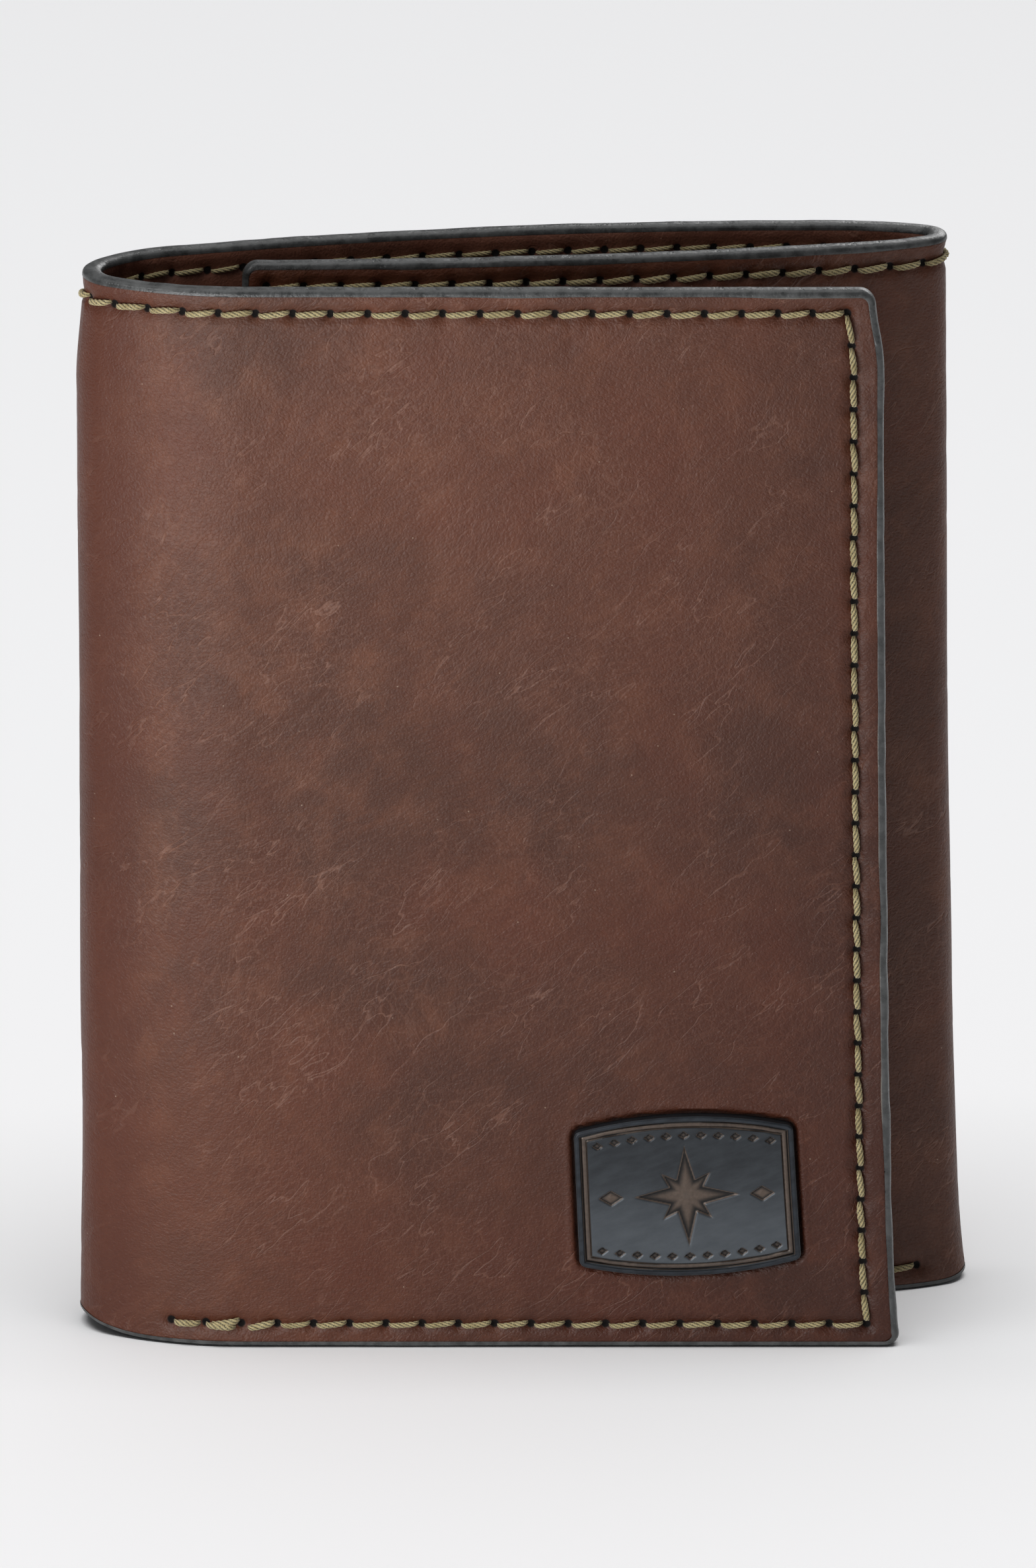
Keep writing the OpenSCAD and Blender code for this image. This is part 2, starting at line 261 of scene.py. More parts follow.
def noise(x, y, seed):
    ix, iy = np.floor(x).astype(np.int64), np.floor(y).astype(np.int64)
    fx, fy = x - ix, y - iy
    ux, uy = fx * fx * (3 - 2 * fx), fy * fy * (3 - 2 * fy)
    low = lattice(ix, iy, seed) * (1 - ux) + lattice(ix + 1, iy, seed) * ux
    high = lattice(ix, iy + 1, seed) * (1 - ux) + lattice(ix + 1, iy + 1, seed) * ux
    return low * (1 - uy) + high * uy


def clouds(x, y, seed, octaves=3):
    return sum(noise(x * 2**k, y * 2**k, seed + k) / 2**k for k in range(octaves))


def ridges(x, y, seed):
    """Thin lines where the noise crosses zero, 1 on the line."""
    return bell(noise(x, y, seed), 0.09)


def turned(s, z, degrees, long_way, short_way):
    a = math.radians(degrees)
    along = s * math.cos(a) + z * math.sin(a)
    across = z * math.cos(a) - s * math.sin(a)
    return along / long_way, across / short_way


# ---- seams ----


class Seam:
    """A straight row of stitches on the flat strip, from one point to another."""

    def __init__(self, start, end, count):
        self.start = np.array(start, float)
        self.step = (np.array(end, float) - self.start) / count
        self.count = count
        self.pitch = np.linalg.norm(self.step)
        self.way = self.step / self.pitch

    def middles(self):
        return [self.start + (k + 0.5) * self.step for k in range(self.count)]

    def near(self, s, z):
        """Distance across the row, and distance from the nearest stitch hole."""
        x, y = s - self.start[0], z - self.start[1]
        along = x * self.way[0] + y * self.way[1]
        across = y * self.way[0] - x * self.way[1]
        inside = np.clip(along, 0, self.count * self.pitch)
        off_end = along - inside
        hole = np.round(inside / self.pitch) * self.pitch
        return np.hypot(across, off_end), np.hypot(along - hole, across)


def seam_between(start, end, pitch):
    length = math.dist(start, end)
    return Seam(start, end, max(1, round(length / pitch)))


TOP_ROW = TOP - STITCH_INSET
BOTTOM_ROW = STITCH_INSET
FRONT_BOTTOM_END = FRONT_L + 7.8
INNER_BOTTOM_END = INNER_0 - 3.2
INNER_EDGE = STRIP_LENGTH - STITCH_INSET

# the shell's rows: where each starts and ends on the flat strip, and its pitch
SHELL_ROWS = (
    ("top", (FRONT_EDGE_INSET, TOP_ROW), (INNER_EDGE, TOP_ROW), STITCH_PITCH),
    ("front_edge", (FRONT_EDGE_INSET, BOTTOM_ROW), (FRONT_EDGE_INSET, TOP_ROW), EDGE_PITCH),
    ("front_bottom", (FRONT_EDGE_INSET, BOTTOM_ROW), (FRONT_BOTTOM_END, BOTTOM_ROW), BOTTOM_PITCH),
    ("back_bottom", (BACK_0, BOTTOM_ROW), (BACK_1, BOTTOM_ROW), STITCH_PITCH),
    ("inner_edge", (INNER_EDGE, BOTTOM_ROW), (INNER_EDGE, TOP_ROW), EDGE_PITCH),
    ("inner_bottom", (INNER_EDGE, BOTTOM_ROW), (INNER_BOTTOM_END, BOTTOM_ROW), STITCH_PITCH),
)
SHELL_SEAMS = {row: seam_between(start, end, pitch) for row, start, end, pitch in SHELL_ROWS}

GROOVE_DEPTH, GROOVE_W = 0.17, 0.8
LIP_HEIGHT, LIP_FROM_ROW = 0.07, 1.8
PULL_DEPTH, PULL_R = 0.22, 1.0
PIT_DEPTH, PIT_R = 0.4, 0.42
PUCKER = 0.09


def seam_relief(s, z, seams):
    """How far the thread pulls the leather in, and how near each point is to a hole."""
    sunk = np.zeros(np.shape(s))
    hole = np.zeros(np.shape(s))
    for seam in seams:
        across, from_hole = seam.near(s, z)
        groove = GROOVE_DEPTH * bell(across, GROOVE_W)
        lips = LIP_HEIGHT * bell(across - LIP_FROM_ROW, GROOVE_W)
        pull = PULL_DEPTH * bell(from_hole, PULL_R)
        pit = bell(from_hole, PIT_R)
        level = abs(seam.way[0]) > 0.5
        reach, wide, high = (4.5, 1.3, 6.0) if level else (4.0, 1.7, 1.7)
        pucker = PUCKER * bell(across, reach) * clouds(s / wide, z / high, 17, 2)
        sunk = np.maximum(sunk, groove + pull + PIT_DEPTH * pit) - lips + pucker
        hole = np.maximum(hole, pit)
    return sunk, hole


# ---- the badge's place ----

badge_low, badge_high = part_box("badge_plate")
BADGE_W = 21.5
BADGE_H = 16.7
BADGE_ARCH_R = 43.0
BADGE_TURN = math.radians(2.2)
BADGE_S = FRONT_EDGE[0] - (badge_low[0] + badge_high[0]) / 2 / MM
BADGE_Z = (badge_low[2] + badge_high[2]) / 2 / MM
BADGE_RISE = 0.8
BADGE_CORNER = 0.55
BED_DEPTH = 0.4
BED_GAP = 0.24


def rotated(x, y, angle):
    """A point's x and y on axes turned by the angle."""
    c, w = math.cos(angle), math.sin(angle)
    return x * c + y * w, y * c - x * w


def badge_half_height(x):
    return BADGE_H / 2 - BADGE_ARCH_R + np.sqrt(BADGE_ARCH_R**2 - np.minimum(np.abs(x), 20) ** 2)


def inside_badge(x, y):
    """Distance inwards from the badge's outline, negative outside it."""
    qx = np.abs(x) - (BADGE_W / 2 - BADGE_CORNER)
    qy = np.abs(y) - (badge_half_height(x) - BADGE_CORNER)
    outside = np.hypot(np.maximum(qx, 0), np.maximum(qy, 0))
    return BADGE_CORNER - outside - np.minimum(np.maximum(qx, qy), 0)


# ---- relief of the leather ----

# long soft creases, most of them up to the right: depth, lean in degrees, length, spacing
CREASES = ((0.035, 38, 34, 7), (0.025, 50, 22, 4.5), (0.020, -35, 30, 8))
WRINKLE = 0.05
GATHER = 0.07
BED_WALL = (-0.15, 0.25)
BED_LIP, LIP_OUT, LIP_W = 0.10, 0.55, 0.35
UNDER_BADGE = 0.12


def outer_relief(s, z):
    """Height of the outer face above its smooth shape, and the pits and bed as masks."""
    sunk, hole = seam_relief(s, z, SHELL_SEAMS.values())
    height = -sunk + 0.10 * clouds(s / 26, z / 34, 11, 2)
    for seed, (deep, *lean_and_size) in enumerate(CREASES, 21):
        height -= deep * ridges(*turned(-s, z, *lean_and_size), seed)
    # soft upright wrinkles where the strip bends
    for middle, reach in ((NOSE_LEFT, 9), (NOSE_RIGHT, 6)):
        height += WRINKLE * bell(s - middle, reach) * clouds(s / 1.6, z / 19, 31, 2)
    from_edge = -inside_badge(*rotated(BADGE_S - s, z - BADGE_Z, BADGE_TURN)) - BED_GAP
    bed = 1 - smoothstep(*BED_WALL, from_edge)
    lip = BED_LIP * bell(from_edge - LIP_OUT, LIP_W)
    height += lip - (BED_DEPTH + UNDER_BADGE) * bed
    return height, hole, bed


def inner_relief(s, z):
    """Height of the lining's face, which gathers where it is on the inside of a bend."""
    sunk, hole = seam_relief(s, z, [SHELL_SEAMS["top"]])
    height = -0.7 * sunk + 0.08 * clouds(s / 20, z / 26, 41, 2)
    for part in BENDS:
        low, high = span(part)
        gather = bell(s - (low + high) / 2, 0.6 * (high - low))
        height += GATHER * gather * clouds(s / 1.1, z / 9, 43, 3)
    return height, hole, np.zeros(np.shape(s))


def waves(size, across, up, seed):
    """A relief of soft waves alone, with no needle holes and no bed."""

    def relief(s, z):
        none = np.zeros(np.shape(s))
        return size * clouds(s / across, z / up, seed, 2), none, none

    return relief


pocket_relief = waves(0.02, 18, 22, 51)
film_relief = waves(0.012, 14, 11, 81)


# ---- making meshes ----

SHARP_ANGLE = 50
# the relief fades out between these distances from a cut edge
RELIEF_FADE = (0.2, 1.1)
# grid lines near a seam or the badge, and how far they stay that close
FINE_STEP = 0.2
FINE_REACH = 1.2


def new_piece(name, flat, faces, masks, material, points=None):
    """A closed mesh, folded from flat coordinates unless its points are given."""
    points = fold(*flat.T) if points is None else points
    mesh = bpy.data.meshes.new(name)
    mesh.from_pydata(points.tolist(), [], faces)
    mesh.validate()
    bm = bmesh.new()
    bm.from_mesh(mesh)
    bmesh.ops.recalc_face_normals(bm, faces=bm.faces)
    bm.to_mesh(mesh)
    bm.free()
    flat_data = mesh.attributes.new("flat", "FLOAT_VECTOR", "POINT")
    flat_data.data.foreach_set("vector", flat.astype(np.float32).ravel())
    for mask, values in masks.items():
        data = mesh.attributes.new(mask, "FLOAT", "POINT")
        data.data.foreach_set("value", values.astype(np.float32))
    mesh.polygons.foreach_set("use_smooth", np.ones(len(mesh.polygons), bool))
    mesh.set_sharp_from_angle(angle=math.radians(SHARP_ANGLE))
    mesh.materials.append(material)
    piece = bpy.data.objects.new(name, mesh)
    bpy.context.scene.collection.objects.link(piece)
    return piece


def attach(piece, part, slot, *nodes):
    """Rides on the part's body, or, on a bend, is baked where it lies in the shared frame."""
    if part in RIGID:
        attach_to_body(piece, RIGID[part])
    else:
        low, high = span(part)
        start, end = fold([low, high], SHELL_T / 2, TOP / 2)
        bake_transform(piece)
    if nodes:
        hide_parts(*nodes)
    return piece


def lines(low, high, step, fine=()):
    """Grid lines from low to high, closer together near the fine places."""
    cuts = [low]
    while cuts[-1] < high - 1e-6:
        near = min((abs(cuts[-1] - f) for f in fine), default=99.0)
        grow = np.interp(near, [FINE_REACH, FINE_REACH + 2 * step], [FINE_STEP, step])
        cuts.append(min(high, cuts[-1] + grow))
    if len(cuts) > 2 and cuts[-1] - cuts[-2] < 0.3 * FINE_STEP:
        del cuts[-2]
    return np.array(cuts)


class Outline:
    """A plate on the flat strip. free is -1 or 1 where its low or high end is a free edge."""

    def __init__(self, low, high, bottom, top, free=0):
        self.low, self.high, self.bottom, self.top = low, high, bottom, top
        self.free, self.corner = free, CORNER_R if free else 0.0

    def from_end(self, s):
        return s - self.low if self.free < 0 else self.high - s

    def corner_inset(self, z):
        near = np.minimum(z - self.bottom, self.top - z)
        inner = np.maximum(0, self.corner - near)
        return self.corner - np.sqrt(np.maximum(0, self.corner**2 - inner**2))

    def place(self, s, z):
        """Pulls grid lines in at the free end, so that they follow its round corners."""
        if not self.free:
            return s
        near = np.clip(1 - self.from_end(s) / (2 * self.corner), 0, 1)
        pull = self.corner_inset(z) * near
        return s - self.free * pull

    def distance(self, s, z):
        """Distance inwards from the nearest cut edge."""
        up = np.minimum(z - self.bottom, self.top - z)
        if not self.free:
            return up
        from_edge = self.from_end(s)
        inner = self.corner - np.hypot(self.corner - from_edge, self.corner - up)
        at_corner = (from_edge < self.corner) & (up < self.corner)
        return np.where(at_corner, inner, np.minimum(up, from_edge))


def z_lines(outline, step, fine, rounding):
    """Lines up the plate, with the corner's arc and the rounded edge drawn finely."""
    ends = np.concatenate([eased(rounding, 5), eased(outline.corner, 12)])
    ends = np.unique(np.round(ends, 3))
    middle = lines(outline.bottom + ends[-1], outline.top - ends[-1], step, fine)
    return np.concatenate([outline.bottom + ends[:-1], middle, outline.top - ends[:-1][::-1]])


def s_lines(outline, step, fine, rounding):
    cuts = lines(outline.low, outline.high, step, fine)
    edge = eased(rounding, 5)[:-1]
    if outline.free < 0:
        cuts = np.concatenate([outline.low + edge, cuts[cuts > outline.low + rounding]])
    if outline.free > 0:
        cuts = np.concatenate([cuts[cuts < outline.high - rounding], outline.high - edge[::-1]])
    return cuts


def plate_faces(columns, rows):
    """Quads of a grid, then those round the plate's thickness, and the grid and its border."""
    grid = np.arange(columns * rows).reshape(columns, rows)
    border = np.concatenate([grid[:, 0], grid[-1, 1:], grid[-2::-1, -1], grid[0, -2:0:-1]])
    quads = np.stack([grid[:-1, :-1], grid[1:, :-1], grid[1:, 1:], grid[:-1, 1:]], -1)
    count, size = grid.size, len(border)
    faces = quads.reshape(-1, 4).tolist()
    faces += [
        [int(border[(k + 1) % size]), int(border[k]), count + k, count + (k + 1) % size]
        for k in range(size)
    ]
    return faces, grid, border


def slab(name, outline, face, back, relief, material, step=0.6, s_fine=(), z_fine=(), rounding=0.5):
    """A closed plate. Its seen face lies at depth face, its hidden one at depth back."""
    cuts_s = s_lines(outline, step, s_fine, rounding)
    z, s = np.meshgrid(z_lines(outline, step, z_fine, rounding), cuts_s)
    s = outline.place(s, z)
    from_edge = np.clip(outline.distance(s, z), 0, None)
    inner = np.clip(rounding - from_edge, 0, None)
    curl = rounding - np.sqrt(np.maximum(0, rounding**2 - inner**2))
    height, hole, bed = relief(s, z)
    way = math.copysign(1, back - face)
    depth = face + way * (curl - height * smoothstep(*RELIEF_FADE, from_edge))
    faces, grid, border = plate_faces(*s.shape)
    size = len(border)
    back_of = {int(v): grid.size + k for k, v in enumerate(border)}
    last_c, last_r = grid.shape[0] - 1, grid.shape[1] - 1
    for i in range(last_c):
        ring = [grid[i, 0], grid[i + 1, 0]]
        if i + 1 == last_c:
            ring += list(grid[last_c, 1:last_r])
        ring += [grid[i + 1, last_r], grid[i, last_r]]
        if i == 0:
            ring += list(grid[0, last_r - 1 : 0 : -1])
        faces.append([back_of[int(v)] for v in reversed(ring)])
    flat_s, flat_z = (np.concatenate([v.ravel(), v.ravel()[border]]) for v in (s, z))
    flat_d = np.concatenate([depth.ravel(), np.full(size, back)])
    masks = {"hole": hole, "bed": bed, "from_edge": from_edge}
    masks = {k: np.concatenate([v.ravel(), np.zeros(size)]) for k, v in masks.items()}
    return new_piece(name, np.stack([flat_s, flat_d, flat_z], -1), faces, masks, material)


def tube(rings, size, base=0, closed=False):
    """Faces of a tube of rings of size points each. Its ends are capped unless they meet."""
    faces = []
    for i in range(rings if closed else rings - 1):
        step = size if i + 1 < rings else -i * size
        for j in range(size):
            a, b = base + i * size + j, base + i * size + (j + 1) % size
            faces.append([a, b, b + step, a + step])
    if not closed:
        faces.append([base + j for j in range(size)])
        faces.append([base + (rings - 1) * size + j for j in reversed(range(size))])
    return faces


def part_outline(part, top=TOP, inset=0.0):
    free = {"front": -1, "inner": 1}.get(part, 0)
    low, high = span(part)
    low, high = (low + inset if free < 0 else low), (high - inset if free > 0 else high)
    return Outline(low, high, inset, top - inset, free)


# ---- edge paint ----

PAINT_REACH = 0.62
PAINT_FILM = 0.035
PAINT_OVERLAP = 0.68
# the lining's side and the bottom edges carry less paint on their faces
INNER_SHARE = 0.78
BOTTOM_SHARE = 0.55
# how uneven its border and its thickness are
BORDER_WAVE, SWELL = 0.12, 0.05


def rim_path(outline, step=0.35):
    """Runs of points round the cut edges, each with the way out of the plate."""

    def straight(a, b, way):
        a, b, way = np.array(a), np.array(b), np.array(way)
        n = max(2, int(math.dist(a, b) / step))
        return [(a + (b - a) * k / n, way) for k in range(n + 1)]

    low, high, bottom, top = outline.low, outline.high, outline.bottom, outline.top
    if not outline.free:
        return [straight((low, z), (high, z), (0.0, w)) for z, w in ((top, 1.0), (bottom, -1.0))]
    r = outline.corner
    end, seam = (low, high) if outline.free < 0 else (high, low)
    out = float(outline.free)
    bend = end - out * r
    run = straight((seam, top), (bend, top), (0.0, 1.0))
    for middle, start in ((top - r, 90), (bottom + r, 0)):
        for a in np.radians(np.linspace(start, start - 90, 12))[1:]:
            way = np.array([out * math.cos(a), math.sin(a)])
            run.append((np.array([bend, middle]) + r * way, way))
        if start == 90:
            run += straight((end, top - r), (end, bottom + r), (out, 0.0))[1:]
    run += straight((bend, bottom), (seam, bottom), (0.0, -1.0))[1:]
    return [run]


def rim_profile(outer_overlap, swell):
    """Cross-section of the paint, a flattened half-round bead: (way out, depth) pairs."""
    middle, film = SHELL_T / 2, 0.8 * PAINT_FILM
    overlap = INNER_SHARE * outer_overlap
    profile = [(-outer_overlap, 0.03), (-outer_overlap + 0.05, -film)]
    for a in np.linspace(-math.pi / 2, math.pi / 2, 15):
        out = (PAINT_REACH + swell) * math.cos(a) ** 0.7 - PAINT_REACH
        side = math.copysign(abs(math.sin(a)) ** 0.7, a)
        profile.append((out, middle + (middle + PAINT_FILM) * side))
    profile += [(-overlap + 0.05, SHELL_T + film), (-overlap, SHELL_T - 0.03)]
    return profile + [(-overlap - 0.02, SHELL_T - 0.3), (-outer_overlap - 0.02, 0.3)]


def edge_paint(name, outline):
    """Paint over the cut edges, its border and its thickness a little uneven."""
    flat, faces, outs = [], [], []
    for run in rim_path(outline):
        base = len(flat)
        for at, way in run:
            foot = max(0.0, -float(way[1]))
            wave = PAINT_OVERLAP + BORDER_WAVE * clouds(at[0] / 9, at[1] / 9, 61, 3)
            wave = wave * (1 - BOTTOM_SHARE * foot)
            swell = (SWELL + SWELL * clouds(at[0] / 4.0, at[1] / 4.0, 62, 3)) * (1 - foot)
            profile = rim_profile(float(wave), float(swell))
            for out, depth in profile:
                spot = at + way * out
                flat.append((spot[0], depth, spot[1]))
                outs.append(out)
        faces += tube(len(run), len(profile), base)
    return new_piece(name, np.array(flat), faces, {"out": np.array(outs)}, paint_look)


# ---- thread ----

AROUND = 20
ALONG = 37
PLIES = 4
# how much stitches differ in lean, length, thickness and bow
LEAN_VARIES, LENGTH_VARIES, THICK_VARIES, BOW = 0.035, 0.03, 0.06, 0.07
# how a stitch narrows and dives towards its holes, and how high its middle lies
TAPER, DIVE, LIE = 0.42, 0.60, 0.25
# the thread's radius between its plies, what a ply adds, and how flat it is pulled
VALLEY, PLY_RISE, FLATTENED = 0.70, 0.36, 0.85
# a stitch that reaches less than this into a bend stays with the panel before it
TOUCH = 0.4


def stitch_mesh(seed, middle, way, length, surface, side, thick, slant):
    """One twisted stitch on the flat strip: it leans, and its ends dive into their holes."""
    t = np.linspace(-1, 1, ALONG)
    dice = lattice(np.array([seed, seed + 71, seed + 143]), np.array([3, 5, 7]), 7)
    slant = slant + LEAN_VARIES * dice[0]
    length = length * (1 + LENGTH_VARIES * dice[1])
    way = np.array([way[0] - slant * way[1], way[1] + slant * way[0]])
    across = np.array([-way[1], way[0]])
    full = THREAD_R * thick * (1 + THICK_VARIES * dice[2])
    radius = full * (1 - TAPER * np.abs(t) ** 3.5)
    rise = radius * LIE - DIVE * np.abs(t) ** 6
    phi = np.linspace(0, 2 * math.pi, AROUND, endpoint=False)
    along = t[:, None] * length / 2 + 0 * phi
    twist = 2 * math.pi * (along / PLY_LAY + 0.37 * seed)
    lobe = np.abs(np.cos(PLIES / 2 * (phi[None] + side * twist)))
    r = radius[:, None] * (VALLEY + PLY_RISE * lobe)
    bow = BOW * dice[1] * (1 - t[:, None] ** 2)
    sideways = r * np.cos(phi) + bow
    out = rise[:, None] + r * np.sin(phi) * FLATTENED
    s = middle[0] + way[0] * along + across[0] * sideways
    z = middle[1] + way[1] * along + across[1] * sideways
    return np.stack([s, surface - side * out, z], -1).reshape(-1, 3), lobe.ravel()


def thread(name, stitches):
    """One piece of many stitches: (middle, way, length, surface, side, thickness, slant)."""
    flat, faces, lobes = [], [], []
    for n, stitch in enumerate(stitches):
        seed = int(stitch[0][0] * 13 + stitch[0][1] * 29)
        points, lobe = stitch_mesh(seed, *stitch)
        flat.append(points)
        lobes.append(lobe)
        faces += tube(ALONG, AROUND, ALONG * AROUND * n)
    return new_piece(name, np.concatenate(flat), faces, {"lobe": np.concatenate(lobes)}, thread_look)


def part_of(s, reach):
    """The part that a stitch belongs to: a bend if it touches one."""
    for part in BENDS:
        low, high = span(part)
        barely = s < low and s + reach < low + TOUCH
        if low - reach < s < high + reach and not barely:
            return part
    for part in RIGID:
        low, high = span(part)
        if low <= s <= high:
            return part
    return "inner"


# ---- materials ----


class Nodes:
    """Short calls for building a material's node tree."""

    def __init__(self, name):
        self.material = bpy.data.materials.new(name)
        self.material.use_nodes = True
        self.tree = self.material.node_tree
        self.shader = self.tree.nodes["Principled BSDF"]

    def feed(self, socket, value):
        if hasattr(value, "links"):
            self.tree.links.new(value, socket)
        else:
            socket.default_value = value

    def set(self, **values):
        for key, value in values.items():
            self.feed(self.shader.inputs[key.replace("_", " ")], value)

    def node(self, kind, inputs, output=0, **settings):
        """Makes a node, fills its inputs and gives one of its outputs."""
        made = self.tree.nodes.new("ShaderNode" + kind)
        for key, value in settings.items():
            setattr(made, key, value)
        for key, value in inputs.items():
            self.feed(made.inputs[key], value)
        return made.outputs[output]

    def attribute(self, name, output="Fac"):
        return self.node("Attribute", {}, output, attribute_name=name)

    def along_and_up(self, flat):
        along = self.node("SeparateXYZ", {0: flat}, "X")
        return along, along.node.outputs["Z"]

    def stretch(self, vector, scale, turn):
        turn = [math.radians(a) for a in turn]
        inputs = {"Vector": vector, "Scale": scale, "Rotation": turn}
        return self.node("Mapping", inputs, vector_type="TEXTURE")

    def noise(self, vector, scale, detail=3.0, rough=0.55, distortion=0.0):
        inputs = {"Vector": vector, "Scale": scale, "Detail": detail}
        return self.node("TexNoise", inputs | {"Roughness": rough, "Distortion": distortion}, "Fac")

    def cells(self, vector, scale, feature="F1"):
        inputs = {"Vector": vector, "Scale": scale}
        return self.node("TexVoronoi", inputs, "Distance", feature=feature)

    def math(self, operation, a, b=0.0):
        return self.node("Math", {0: a, 1: b}, operation=operation)

    def ramp(self, value, low, high, to_low=0.0, to_high=1.0):
        inputs = {"Value": value, "From Min": low, "From Max": high}
        inputs |= {"To Min": to_low, "To Max": to_high}
        return self.node("MapRange", inputs, "Result", interpolation_type="SMOOTHSTEP")

    def mix(self, share, a, b, blend="MIX"):
        inputs = {"Factor": share, "A": a, "B": b}
        return self.node("Mix", inputs, "Result", data_type="RGBA", blend_type=blend)

    def layer(self, colour, *rows):
        """The colour with tones laid over it, each with its own share."""
        for share, tone in rows:
            colour = self.mix(share, colour, tone)
        return colour

    def bend_vector(self, vector, scale, amount):
        """The vector, pushed about by noise."""
        push = self.node("TexNoise", {"Vector": vector, "Scale": scale, "Detail": 2.0}, "Color")
        inputs = {0: push, 1: (amount, amount, amount), 2: vector}
        return self.node("VectorMath", inputs, operation="MULTIPLY_ADD")

    def holes(self, flat, seams):
        """1 in the needle holes of the seams, 0 elsewhere."""
        s, z = self.along_and_up(flat)
        found = 0.0
        for seam in seams:
            level = abs(seam.way[0]) > 0.5
            along, across = (s, z) if level else (z, s)
            start, row = (seam.start if level else seam.start[::-1]).tolist()
            pitch = float(seam.pitch * seam.way[0 if level else 1])
            count = self.math("DIVIDE", self.math("SUBTRACT", along, start), pitch)
            inside = self.math("MINIMUM", self.math("MAXIMUM", count, 0.0), seam.count)
            off = self.math("SUBTRACT", count, self.math("ROUND", inside))
            off = self.math("POWER", self.math("MULTIPLY", off, pitch), 2.0)
            aside = self.math("POWER", self.math("SUBTRACT", across, row), 2.0)
            apart = self.math("SQRT", self.math("ADD", off, aside))
            found = self.math("MAXIMUM", found, self.ramp(apart, HOLE_R, HOLE_R + 0.2, 1.0, 0.0))
        return found

    def bump(self, *layers):
        """Bumps laid on each other: (height, strength, distance in millimetres)."""
        normal = {}
        for height, strength, distance in layers:
            inputs = {"Strength": strength, "Distance": distance * MM, "Height": height}
            normal = {"Normal": self.node("Bump", inputs | normal)}
        self.set(**normal)


def rgb(r, g, b):
    """A colour as seen, from 0 to 255, to the linear values that nodes use."""
    return [*(((c / 255 + 0.055) / 1.055) ** 2.4 if c > 10 else c / 3295 for c in (r, g, b)), 1.0]


WORN_BROWN = rgb(134, 99, 84)
# painted shade tone, multiplied into the leather as a broad gradient
PAINTED_SHADE_TONE = rgb(194, 172, 160)
RUBBED_BROWN = rgb(70, 31, 18)
PALE_SPECK = rgb(190, 170, 150)
# painted shade for the needle holes and the gap round the badge
PAINTED_HOLE_SHADE = rgb(13, 9, 8)
EDGE_GREY = rgb(52, 54, 55)


def painted_shade_gradient(n, flat):
    """How much painted shade darkens the leather in a broad gradient: most at the front flap's free
    foot.
    """
    along, up = n.along_and_up(flat)
    return n.ramp(n.math("ADD", along, n.math("MULTIPLY", up, 0.5)), 100, 0)


def fold_wear(n, flat):
    """1 along the left fold, where the leather is rubbed darker and redder."""
    along, _ = n.along_and_up(n.bend_vector(flat, 0.12, 4.0))
    off = n.math("ABSOLUTE", n.math("SUBTRACT", along, NOSE_LEFT + 2.0))
    return n.ramp(off, 6.0, 11.5, 0.8, 0.0)


